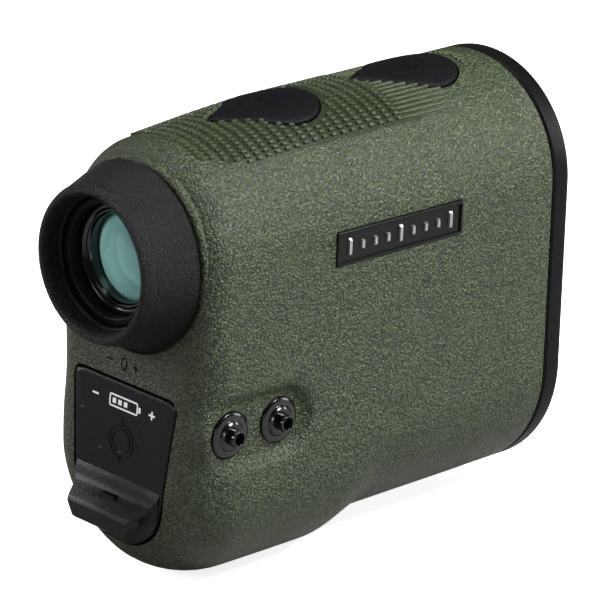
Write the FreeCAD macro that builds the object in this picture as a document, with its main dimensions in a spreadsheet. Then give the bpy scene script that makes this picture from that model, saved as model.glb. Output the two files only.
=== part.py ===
"""Hand-held laser rangefinder, built as a parametric FreeCAD document.

Frame: millimetres, +Z up, +Y towards the objective (forward), +X to the user's right.
The origin is under the middle of the instrument, on the surface that it stands on.
"""

import FreeCAD
import Part

import math
import os

import Sketcher

Vector = FreeCAD.Vector

# Driving dimensions: alias and value in millimetres or degrees.
SIZES = [
    ("body_rear", -37.5),          # rear wall plane, where the eyepiece axis meets it
    ("body_front", 47.2),          # front face plane on the same axis
    ("skin_front", 42.4),          # front edge of the rubber armour
    ("rear_lean", 3.8),            # the rear face leans out towards its foot
    ("front_lean", 1.1),           # the front face leans the same way
    ("top_radius_rear", 19.0),     # radius of the crown arch
    ("top_radius_front", 20.9),
    ("low_radius_rear", 20.1),     # radius of the arch underneath
    ("low_radius_front", 22.0),
    ("crown_rear", 78.2),          # height of the crown line
    ("crown_middle", 80.0),
    ("step_height", 3.2),          # the battery bulge stands this far under the rest
    ("step_middle", -1.0),         # where the bulge ends, along the body
    ("step_half_length", 6.0),
    ("edge_round", 5.5),           # rounding of the rear edge all round
    ("skin_thick", 1.8),           # rubber armour
    ("wall_thick", 1.8),           # moulded housing
    ("face_thick", 2.8),           # front bezel plate
    ("groove_depth", 0.5),         # groove between armour and bezel
    ("groove_width", 0.6),
    ("eye_height", 58.9),          # eyepiece and objective axis
    ("cup_base_radius", 16.5),
    ("cup_lip_radius", 13.7),
    ("cup_mouth_radius", 11.85),
    ("cup_end", -47.6),
    ("cup_gap", 0.35),             # gap between the cup and the rear face
    ("sleeve_radius", 12.4),
    ("barrel_radius", 11.0),
    ("cell_radius", 9.6),
    ("running_gap", 0.05),
    ("eye_lens_radius", 8.3),
    ("objective_radius", 12.0),
    ("receiver_height", 27.0),
    ("receiver_radius", 9.0),
    ("cell_wall", 1.5),
    ("button_round", 8.6),         # radius of the round end of a teardrop button
    ("button_length", 23.0),
    ("menu_end", 1.25),            # front end of the rear button
    ("measure_end", 35.2),         # front end of the front button
    ("button_proud", 0.6),
    ("button_thick", 1.5),
    ("button_gap", 0.35),
    ("button_travel", 0.7),
    ("seat_plane", -37.4),         # flat seat round the eyepiece
    ("seat_radius", 16.9),
    ("stem_radius", 1.6),
    ("switch_height", 73.4),
    ("post_rear", -32.3),          # clip posts on the right side
    ("post_spacing", 11.2),
    ("post_height", 31.0),
    ("post_radius", 1.55),
    ("post_thread_radius", 1.0),
    ("post_reach", 21.1),
    ("flange_radius", 3.95),
    ("flange_face", 18.9),
    ("badge_length", 29.8),
    ("badge_height", 6.1),
    ("badge_middle", 5.0),
    ("badge_z", 59.0),
    ("door_top", 36.6),            # opening in the armour for the battery door
    ("door_half_top", 13.1),
    ("door_half_low", 11.1),
    ("door_low", 18.4),            # centre height of the round lower end
    ("door_gap", 0.45),
    ("hinge_y", -37.6),
    ("hinge_z", 34.75),
    ("hinge_radius", 1.5),
    ("pin_radius", 0.6),
    ("battery_radius", 7.8),       # CR2 cell
    ("battery_length", 27.0),
    ("battery_height", 21.5),
    ("battery_front", -8.0),
    ("tube_clearance", 0.3),
    ("tube_wall", 1.2),
    ("spring_radius", 3.9),        # widest turn of the door's contact spring
    ("spring_wire", 0.3),
    ("spring_pitch", 0.44),
    ("spring_taper", 0.34),
]
SPRING_TURNS = 6

doc = FreeCAD.newDocument("LaserRangefinder")
sheet = doc.addObject("Spreadsheet::Sheet", "Sizes")
for row, (alias, size) in enumerate(SIZES, start=1):
    sheet.set("A%d" % row, alias)
    sheet.set("B%d" % row, str(size))
    sheet.setAlias("B%d" % row, alias)
doc.recompute()

subparts = []


def value(text):
    """Return the number that an expression on the sheet stands for."""
    return float(sheet.evalExpression(text))


def bind(item, **sizes):
    """Bind properties of an object to expressions; X, Y and Z set its place."""
    for key, text in sizes.items():
        path = "Placement.Base." + key.lower() if key in ("X", "Y", "Z") else key
        item.setExpression(path, str(text))
    return item


def piece(item, label):
    """Name an object as one sub-part of the instrument."""
    item.Label = label
    subparts.append(item)
    return item


# ---- Part primitives and booleans -------------------------------------------------

TURNS = {
    "X": FreeCAD.Rotation(Vector(0, 1, 0), 90),
    "Y": FreeCAD.Rotation(Vector(1, 0, 0), -90),
    "Z": FreeCAD.Rotation(),
}


def cylinder(name, radius, length, place, axis="Y"):
    """A cylinder whose base centre is at place (three expressions), along an axis."""
    item = doc.addObject("Part::Cylinder", name)
    item.Placement = FreeCAD.Placement(Vector(), TURNS[axis])
    return bind(item, Radius=radius, Height=length, X=place[0], Y=place[1], Z=place[2])


def cone(name, radius_1, radius_2, length, place, axis="Y"):
    """A cone frustum whose base centre is at place, along an axis."""
    item = doc.addObject("Part::Cone", name)
    item.Placement = FreeCAD.Placement(Vector(), TURNS[axis])
    bind(item, Radius1=radius_1, Radius2=radius_2, Height=length)
    return bind(item, X=place[0], Y=place[1], Z=place[2])


def torus(name, ring, section, place, axis="Y"):
    """A torus centred at place."""
    item = doc.addObject("Part::Torus", name)
    item.Placement = FreeCAD.Placement(Vector(), TURNS[axis])
    bind(item, Radius1=ring, Radius2=section)
    return bind(item, X=place[0], Y=place[1], Z=place[2])


def box(name, low, high):
    """A box between two corners, each given as three expressions."""
    item = doc.addObject("Part::Box", name)
    bind(item, Length="(%s) - (%s)" % (high[0], low[0]))
    bind(item, Width="(%s) - (%s)" % (high[1], low[1]))
    bind(item, Height="(%s) - (%s)" % (high[2], low[2]))
    return bind(item, X=low[0], Y=low[1], Z=low[2])


def sphere(name, radius, place):
    """A sphere centred at place."""
    item = doc.addObject("Part::Sphere", name)
    bind(item, Radius=radius)
    return bind(item, X=place[0], Y=place[1], Z=place[2])


def cut(name, base, *tools):
    """The base less every tool."""
    item = doc.addObject("Part::Cut", name)
    item.Base = base
    item.Tool = tools[0] if len(tools) == 1 else fuse(name + "Tools", *tools)
    return item


def fuse(name, *shapes):
    """Several shapes made one."""
    item = doc.addObject("Part::MultiFuse", name)
    item.Shapes = list(shapes)
    return item


def group(name, *shapes):
    """Several separate solids kept in one node."""
    item = doc.addObject("Part::Compound", name)
    item.Links = list(shapes)
    return item


def common(name, base, tool):
    """What two shapes share."""
    item = doc.addObject("Part::Common", name)
    item.Base = base
    item.Tool = tool
    return item


# ---- PartDesign bodies ---------------------------------------------------------------

def origin_plane(body, role):
    """Return one of a body's own origin planes."""
    return [item for item in body.Origin.OriginFeatures if item.Role == role][0]


def new_sketch(body, name, role="XZ_Plane"):
    """A sketch attached flat to one of the body's origin planes."""
    item = body.newObject("Sketcher::SketchObject", name)
    item.AttachmentSupport = (origin_plane(body, role), "")
    item.MapMode = "FlatFace"
    return item


def constrain(item, rule, text, *where):
    """Add a dimension to a sketch and bind it to an expression."""
    index = item.addConstraint(Sketcher.Constraint(rule, *where, value(text)))
    item.setExpression("Constraints[%d]" % index, text)


def polygon(item, corners):
    """Draw a closed outline through corners, each a pair of expressions."""
    points = [Vector(value(u), value(v), 0) for u, v in corners]
    count = len(points)
    for index in range(count):
        item.addGeometry(Part.LineSegment(points[index], points[(index + 1) % count]), False)
    for index in range(count):
        item.addConstraint(Sketcher.Constraint("Coincident", index, 2, (index + 1) % count, 1))
    for index, (u, v) in enumerate(corners):
        constrain(item, "DistanceX", u, -1, 1, index, 1)
        constrain(item, "DistanceY", v, -1, 1, index, 1)


def turned(name, outline):
    """A body of revolution about the eyepiece axis; the outline is (y, radius) pairs."""
    body = doc.addObject("PartDesign::Body", name)
    sketch = new_sketch(body, name + "Profile", "XY_Plane")
    polygon(sketch, [(radius, along) for along, radius in outline])
    turn = body.newObject("PartDesign::Revolution", name + "Turn")
    turn.Profile = sketch
    turn.ReferenceAxis = (sketch, ["V_Axis"])
    turn.Angle = 360
    return bind(body, Z="Sizes.eye_height")


def prism(name, corners, low, high, role="YZ_Plane"):
    """A polygon padded square to an origin plane, from low to high along its normal."""
    body = doc.addObject("PartDesign::Body", name)
    sketch = new_sketch(body, name + "Profile", role)
    polygon(sketch, corners)
    sketch.AttachmentOffset = FreeCAD.Placement(Vector(0, 0, value(low)), FreeCAD.Rotation())
    sketch.setExpression("AttachmentOffset.Base.z", low)
    pad = body.newObject("PartDesign::Pad", name + "Pad")
    pad.Profile = sketch
    pad.setExpression("Length", "(%s) - (%s)" % (high, low))
    return body


# ---- The housing's outer form ------------------------------------------------------

def share(along):
    """How far along the body a station lies, as an expression from 0 to 1."""
    return "((%s) - Sizes.body_rear) / (Sizes.body_front - Sizes.body_rear)" % along


def station(along, lean="0", inset="0", crown="Sizes.crown_middle", sole="0"):
    """One cross-section: where it stands, its lean, its inset and its two heights."""
    return {"along": along, "lean": lean, "inset": inset, "crown": crown, "sole": sole}


def section_sketch(body, name, spec, offset):
    """Draw one section: two round arches joined by straight sides."""
    part = share(spec["along"])
    inset = "(%s) - (%s)" % (spec["inset"], offset)
    rear_top = "Sizes.top_radius_rear + (Sizes.top_radius_front - Sizes.top_radius_rear) * " + part
    rear_low = "Sizes.low_radius_rear + (Sizes.low_radius_front - Sizes.low_radius_rear) * " + part
    top_radius = "%s - (%s)" % (rear_top, inset)
    low_radius = "%s - (%s)" % (rear_low, inset)
    top_centre = "(%s) - (%s) - Sizes.eye_height" % (spec["crown"], rear_top)
    low_centre = "(%s) + (%s) - Sizes.eye_height" % (spec["sole"], rear_low)

    sketch = new_sketch(body, name)
    turn = FreeCAD.Rotation(Vector(1, 0, 0), -max(value(spec["lean"]), 0.01))
    sketch.AttachmentOffset = FreeCAD.Placement(Vector(0, 0, 0), turn)
    sketch.setExpression("AttachmentOffset.Base.y", "Sizes.eye_height")
    sketch.setExpression("AttachmentOffset.Base.z", "-(%s)" % spec["along"])

    high, low = value(top_centre), value(low_centre)
    big, small = value(low_radius), value(top_radius)
    tip = math.asin((big - small) / (high - low))
    top = Part.Circle(Vector(0, high, 0), Vector(0, 0, 1), small)
    bottom = Part.Circle(Vector(0, low, 0), Vector(0, 0, 1), big)
    sketch.addGeometry(Part.ArcOfCircle(top, tip, math.pi - tip), False)
    sketch.addGeometry(Part.ArcOfCircle(bottom, math.pi - tip, 2 * math.pi + tip), False)

    def rim(height, radius, side):
        return Vector(side * radius * math.cos(tip), height + radius * math.sin(tip), 0)

    sketch.addGeometry(Part.LineSegment(rim(high, small, -1), rim(low, big, -1)), False)
    sketch.addGeometry(Part.LineSegment(rim(low, big, 1), rim(high, small, 1)), False)
    for first, end_1, second, end_2 in ((0, 2, 2, 1), (2, 2, 1, 1), (1, 2, 3, 1), (3, 2, 0, 1)):
        sketch.addConstraint(Sketcher.Constraint("Tangent", first, end_1, second, end_2))
    for arc, radius, centre in ((0, top_radius, top_centre), (1, low_radius, low_centre)):
        sketch.addConstraint(Sketcher.Constraint("PointOnObject", arc, 3, -2))
        constrain(sketch, "Radius", radius, arc)
        constrain(sketch, "DistanceY", centre, -1, 1, arc, 3)
    return sketch


def hull(name, offset, front="Sizes.skin_front", rear=None, front_round=False):
    """The housing's form grown by offset (negative shrinks it), from rear to front.

    The rear edge is rounded all round unless another rear station is given.
    """
    body = doc.addObject("PartDesign::Body", name)
    stations = []
    if rear is None:
        wall = "Sizes.body_rear - (%s)" % offset
        rounding = "(Sizes.edge_round + (%s))" % offset
        for angle in (0, 30, 60, 90):
            along = "%s + %s * (1 - cos(%d))" % (wall, rounding, angle)
            inset = "%s * (1 - sin(%d))" % (rounding, angle)
            stations.append(station(along, "Sizes.rear_lean", inset, "Sizes.crown_rear"))
        stations.append(station("-18", "Sizes.rear_lean / 3", crown="Sizes.crown_middle - 0.7"))
        for fraction, rise in ((-1, 0), (-0.35, 0.15), (0.35, 0.85), (1, 1)):
            along = "Sizes.step_middle + Sizes.step_half_length * %s" % fraction
            stations.append(station(along, sole="Sizes.step_height * %s" % rise))
    else:
        stations.append(station(rear, "Sizes.front_lean", sole="Sizes.step_height"))
    if front_round:
        for back, inset in (("1.2", "0"), ("0.4", "0.35"), ("0", "1.1")):
            along = "%s - %s" % (front, back)
            stations.append(station(along, "Sizes.front_lean", inset, sole="Sizes.step_height"))
    else:
        stations.append(station(front, "Sizes.front_lean", sole="Sizes.step_height"))

    sketches = []
    for index, spec in enumerate(stations):
        sketches.append(section_sketch(body, "%sSection%d" % (name, index), spec, offset))
    loft = body.newObject("PartDesign::AdditiveLoft", name + "Loft")
    loft.Profile = sketches[0]
    loft.Sections = sketches[1:]
    loft.Ruled = True
    return body


def teardrop(name, end, margin, low, high):
    """An upright teardrop prism, round end forward, grown by margin."""
    body = doc.addObject("PartDesign::Body", name)
    sketch = new_sketch(body, name + "Profile", "XY_Plane")
    radius = "Sizes.button_round + (%s)" % margin
    centre = "%s - Sizes.button_round" % end
    reach = "Sizes.button_length - Sizes.button_round"
    tail = "1.2 + (%s)" % margin
    tail_centre = "%s - Sizes.button_length + 1.2" % end
    front, back = value(centre), value(tail_centre)
    big, small = value(radius), value(tail)
    lean = math.asin((big - small) / (front - back))
    round_end = Part.Circle(Vector(0, front, 0), Vector(0, 0, 1), big)
    tail_end = Part.Circle(Vector(0, back, 0), Vector(0, 0, 1), small)
    sketch.addGeometry(Part.ArcOfCircle(round_end, -lean, math.pi + lean), False)
    sketch.addGeometry(Part.ArcOfCircle(tail_end, math.pi + lean, 2 * math.pi - lean), False)

    def rim(at, size, side):
        return Vector(side * size * math.cos(lean), at - size * math.sin(lean), 0)

    sketch.addGeometry(Part.LineSegment(rim(front, big, -1), rim(back, small, -1)), False)
    sketch.addGeometry(Part.LineSegment(rim(back, small, 1), rim(front, big, 1)), False)
    for first, end_1, second, end_2 in ((0, 2, 2, 1), (2, 2, 1, 1), (1, 2, 3, 1), (3, 2, 0, 1)):
        sketch.addConstraint(Sketcher.Constraint("Tangent", first, end_1, second, end_2))
    for arc, size, place in ((0, radius, centre), (1, tail, tail_centre)):
        sketch.addConstraint(Sketcher.Constraint("PointOnObject", arc, 3, -2))
        constrain(sketch, "Radius", size, arc)
        constrain(sketch, "DistanceY", place, -1, 1, arc, 3)
    sketch.AttachmentOffset = FreeCAD.Placement(Vector(0, 0, low), FreeCAD.Rotation())
    pad = body.newObject("PartDesign::Pad", name + "Pad")
    pad.Profile = sketch
    pad.Length = high - low
    return body


def door_prism(name, margin, near="-34", far="-46"):
    """The battery door's outline, square top and round foot, as a prism along Y."""
    body = doc.addObject("PartDesign::Body", name)
    sketch = new_sketch(body, name + "Profile", "XZ_Plane")
    top = "Sizes.door_top + (%s)" % margin
    half_top = "Sizes.door_half_top + (%s)" % margin
    radius = "Sizes.door_half_low + (%s)" % margin
    low, width, small, high = value("Sizes.door_low"), value(half_top), value(radius), value(top)
    lean = math.atan2(width - small, high - low)
    foot = Part.Circle(Vector(0, low, 0), Vector(0, 0, 1), small)
    sketch.addGeometry(Part.ArcOfCircle(foot, math.pi + lean, 2 * math.pi - lean), False)
    right = Vector(small * math.cos(lean), low - small * math.sin(lean), 0)
    left = Vector(-right.x, right.y, 0)
    sketch.addGeometry(Part.LineSegment(right, Vector(width, high, 0)), False)
    sketch.addGeometry(Part.LineSegment(Vector(width, high, 0), Vector(-width, high, 0)), False)
    sketch.addGeometry(Part.LineSegment(Vector(-width, high, 0), left), False)
    for first, end_1, second, end_2 in ((0, 2, 1, 1), (3, 2, 0, 1)):
        sketch.addConstraint(Sketcher.Constraint("Tangent", first, end_1, second, end_2))
    for first, second in ((1, 2), (2, 3)):
        sketch.addConstraint(Sketcher.Constraint("Coincident", first, 2, second, 1))
    sketch.addConstraint(Sketcher.Constraint("PointOnObject", 0, 3, -2))
    constrain(sketch, "Radius", radius, 0)
    constrain(sketch, "DistanceY", "Sizes.door_low", -1, 1, 0, 3)
    for line, side in ((2, ""), (3, "-")):
        constrain(sketch, "DistanceX", "%s(%s)" % (side, half_top), -1, 1, line, 1)
        constrain(sketch, "DistanceY", top, -1, 1, line, 1)
    sketch.AttachmentOffset = FreeCAD.Placement(Vector(0, 0, -float(near)), FreeCAD.Rotation())
    pad = body.newObject("PartDesign::Pad", name + "Pad")
    pad.Profile = sketch
    pad.Length = float(near) - float(far)
    return body


EYE = "Sizes.eye_height"
BUTTONS = (("Menu", "Sizes.menu_end"), ("Measure", "Sizes.measure_end"))
POSTS = ("Sizes.post_rear", "Sizes.post_rear + Sizes.post_spacing")


# ---- Housing, armour and bezel -------------------------------------------------------

def side_slope():
    """How far the sides spread for each millimetre forward."""
    return ("(Sizes.top_radius_front - Sizes.top_radius_rear)"
            " / (Sizes.body_front - Sizes.body_rear)")


def badge_box(name, side, along, height, length, tall, depth, face):
    """A thin box lying on the side of the housing, its outer face at a set distance."""
    item = doc.addObject("Part::Box", name)
    turn = math.degrees(math.atan(value(side_slope()))) * side
    item.Placement = FreeCAD.Placement(Vector(), FreeCAD.Rotation(Vector(0, 0, 1), -turn))
    surface = "Sizes.top_radius_rear + (Sizes.badge_middle - Sizes.body_rear) * " + side_slope()
    start = "(%s) - (%s) / 2" % (along, length)
    place = "%s + (%s) + ((%s) - Sizes.badge_middle) * %s" % (surface, face, start, side_slope())
    bind(item, Length=depth, Width=length, Height=tall)
    shift = "(%s)" % depth if side > 0 else "0"
    bind(item, X="%d * (%s) - %s" % (side, place, shift), Y=start)
    return bind(item, Z="(%s) - (%s) / 2" % (height, tall))


def make_badges():
    """Badge plates set into both sides, each with a raised scale of plain ticks."""
    plates = []
    for side, hand in ((1, "right"), (-1, "left")):
        name = "Badge" + hand.title()
        plate = badge_box(name, side, "Sizes.badge_middle", "Sizes.badge_z",
                          "Sizes.badge_length", "Sizes.badge_height", "0.8", "0.1")
        plates.append(piece(plate, "badge_plate_" + hand))
        ticks = []
        for index in range(-4, 5):
            tall = "3.4" if index % 4 == 0 else "1.8"
            along = "Sizes.badge_middle + Sizes.badge_length * %d / 10" % index
            ticks.append(badge_box("%sTick%d" % (name, index + 4), side, along,
                                   "Sizes.badge_z", "0.7", tall, "0.2", "0.3"))
        piece(group(name + "Ticks", *ticks), "badge_marks_" + hand)
    return plates


def make_posts():
    """Two threaded clip posts on the right side, with their flanges."""
    tubes, flanges, holes = [], [], []
    for index, along in enumerate(POSTS):
        name = "Post%d" % index
        root = ("15.5", along, "Sizes.post_height")
        tube = cylinder(name + "Tube", "Sizes.post_radius", "Sizes.post_reach - 15.5", root, "X")
        bore = cylinder(name + "Thread", "Sizes.post_thread_radius", "5",
                        ("Sizes.post_reach - 5", along, "Sizes.post_height"), "X")
        tubes.append(cut(name + "Hollow", tube, bore))
        collar = cylinder(name + "Collar", "2.6", "Sizes.flange_face + 0.7 - 15.5", root, "X")
        disc = cone(name + "Disc", "Sizes.flange_radius", "Sizes.flange_radius - 0.4", "0.5",
                    ("Sizes.flange_face - 0.5", along, "Sizes.post_height"), "X")
        core = cylinder(name + "Core", "Sizes.post_radius", "8", root, "X")
        flanges.append(cut(name + "Flange", fuse(name + "FlangeForm", collar, disc), core))
        holes.append(cylinder(name + "Hole", "2.6", "8", ("14", along, "Sizes.post_height"), "X"))
        holes.append(cylinder(name + "Seat", "Sizes.flange_radius", "4",
                              ("Sizes.flange_face - 0.5", along, "Sizes.post_height"), "X"))
    piece(group("ClipPosts", *tubes), "clip_posts")
    piece(group("ClipFlanges", *flanges), "clip_post_flanges")
    recess = box("PostRecess", ("17", POSTS[0], "Sizes.post_height - 4.5"),
                 ("24", POSTS[1], "Sizes.post_height + 4.5"))
    ends = [cylinder("PostRecessEnd%d" % index, "4.5", "7", ("17", along, "Sizes.post_height"), "X")
            for index, along in enumerate(POSTS)]
    return holes, fuse("PostRecessForm", recess, *ends)


def make_shell(plates, post_holes, post_recess):
    """The rubber armour and the moulded housing that it is bonded to."""
    skin = hull("Skin", "0")
    seat = cylinder("SeatPad", "Sizes.seat_radius", "4", ("0", "Sizes.seat_plane", EYE))
    over = cylinder("SeatCut", "Sizes.seat_radius", "8", ("0", "Sizes.seat_plane - 8", EYE))
    hollow = hull("SkinHollow", "-Sizes.skin_thick", "Sizes.skin_front + 1")
    way = cylinder("EyeOpening", "14.2", "12", ("0", "-44", EYE))
    door = door_prism("DoorOpening", "0")
    caps = [teardrop(name + "Opening", end, "Sizes.button_gap", 68, 90) for name, end in BUTTONS]
    lugs = [cylinder("LugPocket%d" % side, "1.35", "2",
                     ("%s" % ("13.3" if side > 0 else "-15.3"), "Sizes.hinge_y", "Sizes.hinge_z"), "X")
            for side in (1, -1)]
    form = fuse("SkinForm", skin, seat)
    lugs.append(cylinder("PinWay", "Sizes.pin_radius", "32",
                         ("-16", "Sizes.hinge_y", "Sizes.hinge_z"), "X"))
    piece(cut("ArmourSkin", form, over, hollow, way, door, post_recess, *caps, *lugs, *plates),
          "armour_skin")

    outer = hull("HousingOuter", "-Sizes.skin_thick")
    inner = hull("HousingInner", "-(Sizes.skin_thick + Sizes.wall_thick)", "Sizes.skin_front + 1")
    walls = cut("HousingWalls", outer, inner)
    ledges = []
    for side in (1, -1):
        low, high = ("12", "20") if side > 0 else ("-20", "-12")
        ledges.append(box("Ledge%d" % side, (low, "-19", "39.5"), (high, "39", "42")))
    ribs = common("HousingRibs", outer, fuse("Ledges", *ledges))
    pins = [cylinder("HingeLug%d" % side, "1.35", "2",
                     ("%s" % ("13.3" if side > 0 else "-15.3"), "Sizes.hinge_y", "Sizes.hinge_z"), "X")
            for side in (1, -1)]
    tube = cylinder("TubeOpening", "10.2", "10", ("0", "-42", "Sizes.battery_height"))
    trough = cylinder("HingeTrough", "Sizes.hinge_radius + 0.3", "25.8",
                      ("-12.9", "Sizes.hinge_y", "Sizes.hinge_z"), "X")
    pin = cylinder("PinBore", "Sizes.pin_radius", "32", ("-16", "Sizes.hinge_y", "Sizes.hinge_z"), "X")
    catch = box("CatchSlot", ("-3.4", "-40", "8.2"), ("3.4", "-36", "11.2"))
    stems = [cylinder(name + "StemHole", "Sizes.stem_radius + 0.5", "12",
                      ("0", "%s - Sizes.button_round" % end, "70"), "Z") for name, end in BUTTONS]
    screws = [cylinder("LedgeHole%d" % index, "1", "5", (x, y, "38"), "Z")
              for index, (x, y) in enumerate(SCREW_PLACES)]
    frame = fuse("HousingForm", walls, ribs, *pins)
    rear = cylinder("BarrelOpening", "14.2", "12", ("0", "-44", EYE))
    piece(cut("MainHousing", frame, rear, tube, trough, pin, catch, *stems, *screws, *post_holes),
          "main_housing")


def make_front():
    """The front bezel with its two lens openings, and the gasket in the groove behind it."""
    edge = "Sizes.skin_front + Sizes.groove_width"
    bezel = hull("Bezel", "0", "Sizes.body_front", edge, True)
    inside = "-(Sizes.skin_thick + Sizes.wall_thick)"
    hollow = hull("BezelHollow", inside, "Sizes.body_front - Sizes.face_thick", "Sizes.skin_front")
    view = cylinder("ViewOpening", "Sizes.objective_radius + 0.6", "12", ("0", "40", EYE))
    flare = cone("ViewFlare", "Sizes.objective_radius + 0.6", "Sizes.objective_radius + 2.6", "3",
                 ("0", "Sizes.body_front - 1.6", EYE))
    low = "Sizes.receiver_height"
    take = cylinder("TakeOpening", "Sizes.receiver_radius + 0.6", "12", ("0", "40", low))
    funnel = cone("TakeFlare", "Sizes.receiver_radius + 0.6", "Sizes.receiver_radius + 2.6", "3",
                  ("0", "Sizes.body_front - 2.2", low))
    piece(cut("FrontBezel", bezel, hollow, view, flare, take, funnel), "front_bezel")
    ring = hull("SealOuter", "-Sizes.groove_depth", edge, "Sizes.skin_front")
    core = hull("SealHollow", inside, edge + " + 1", "Sizes.skin_front - 1")
    piece(cut("FrontSeal", ring, core), "front_seal")


# ---- Buttons -----------------------------------------------------------------------------

def make_buttons():
    """Two teardrop buttons on the crown, with their stems, seals, switches and board."""
    seals, switches = [], []
    for name, end in BUTTONS:
        middle = "%s - Sizes.button_round" % end
        form = common(name + "Form", teardrop(name + "Cap", end, "0", 62, 90),
                      hull(name + "Top", "Sizes.button_proud"))
        under = hull(name + "Under", "Sizes.button_proud - Sizes.button_thick")
        foot = "Sizes.switch_height + 1.55 + Sizes.button_travel"
        stem = cylinder(name + "Stem", "Sizes.stem_radius", "79.4 - (%s)" % foot,
                        ("0", middle, foot), "Z")
        cap = cut(name + "Shell", form, under)
        piece(fuse(name + "Button", cap, stem), name.lower() + "_button")
        ring = cylinder(name + "SealRing", "Sizes.stem_radius + 0.5", "0.6",
                        ("0", middle, "76.9"), "Z")
        bore = cylinder(name + "SealBore", "Sizes.stem_radius + 0.1", "3", ("0", middle, "76"), "Z")
        seals.append(cut(name + "Seal", ring, bore))
        body = box(name + "Switch", ("-2", middle + " - 2", "Sizes.switch_height"),
                   ("2", middle + " + 2", "Sizes.switch_height + 1"))
        knob = cylinder(name + "Plunger", "0.9", "0.5", ("0", middle, "Sizes.switch_height + 1"), "Z")
        switches.append(fuse(name + "SwitchForm", body, knob))
    piece(group("ButtonSeals", *seals), "button_seals")
    piece(group("ButtonSwitches", *switches), "button_switches")
    board = box("ButtonBoard", ("-5", "-11", "Sizes.switch_height - 0.6"),
                ("5", "31", "Sizes.switch_height"))
    piece(board, "button_board")


# ---- Eyepiece ------------------------------------------------------------------------------

def make_eyepiece():
    """The turning eyecup and sleeve, the fixed barrel and the sliding ocular cell."""
    base = "Sizes.seat_plane - Sizes.cup_gap"
    end = "Sizes.cup_end"
    cup = [
        (base, "Sizes.sleeve_radius"), (base, "Sizes.cup_base_radius"),
        (end + " + 2.3", "Sizes.cup_lip_radius + 0.2"), (end + " + 1", "Sizes.cup_lip_radius"),
        (end + " + 0.25", "Sizes.cup_lip_radius - 0.6"), (end, "Sizes.cup_lip_radius - 1.1"),
        (end + " + 0.25", "Sizes.cup_mouth_radius"), (end + " + 3.1", "Sizes.cup_mouth_radius - 0.3"),
        (end + " + 3.1", "Sizes.sleeve_radius"),
    ]
    piece(turned("Eyecup", cup), "eyecup")
    bore = "Sizes.barrel_radius + Sizes.running_gap"
    sleeve = [(end + " + 3.1", bore), (end + " + 3.1", "Sizes.sleeve_radius"),
              ("-36.2", "Sizes.sleeve_radius"), ("-36.2", bore)]
    piece(turned("DiopterSleeve", sleeve), "diopter_sleeve")
    bore = "Sizes.cell_radius + Sizes.running_gap"
    barrel = [("-43.6", bore), ("-43.6", "Sizes.barrel_radius"), ("-35.6", "Sizes.barrel_radius"),
              ("-35.6", "14.2"), ("-33.4", "14.2"), ("-33.4", "Sizes.barrel_radius"),
              ("-22", "Sizes.barrel_radius"), ("-22", bore)]
    piece(turned("EyepieceBarrel", barrel), "eyepiece_barrel")
    gasket = [("-36.1", "12.7"), ("-36.1", "14.2"), ("-35.6", "14.2"), ("-35.6", "12.7")]
    piece(turned("EyepieceSeal", gasket), "eyepiece_seal")
    lens = "Sizes.eye_lens_radius"
    cell = [("-41.5", lens), ("-41.5", "Sizes.cell_radius"), ("-27", "Sizes.cell_radius"),
            ("-27", lens)]
    piece(turned("OcularCell", cell), "ocular_cell")
    ring = [("-41", lens + " - 0.6"), ("-41", lens), ("-38.8", lens), ("-38.8", lens + " - 0.6")]
    piece(turned("OcularRing", ring), "ocular_retaining_ring")
    make_lens("EyeLens", "eye_lens", lens, "-40.4", "-36.2", "18", EYE, -1)
    make_lens("FieldLens", "field_lens", lens, "-33", "-29.5", "24", EYE, 1)


def make_lens(name, label, radius, rear, front, curve, height, side):
    """A lens with one convex face: side 1 curves it forward, side -1 backward."""
    disc = cylinder(name + "Disc", radius, "(%s) - (%s)" % (front, rear), ("0", rear, height))
    middle = "%s - %s" % (front, curve) if side > 0 else "%s + %s" % (rear, curve)
    ball = sphere(name + "Ball", curve, ("0", middle, height))
    return piece(common(name, disc, ball), label)


# ---- Battery compartment -----------------------------------------------------------------

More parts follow.
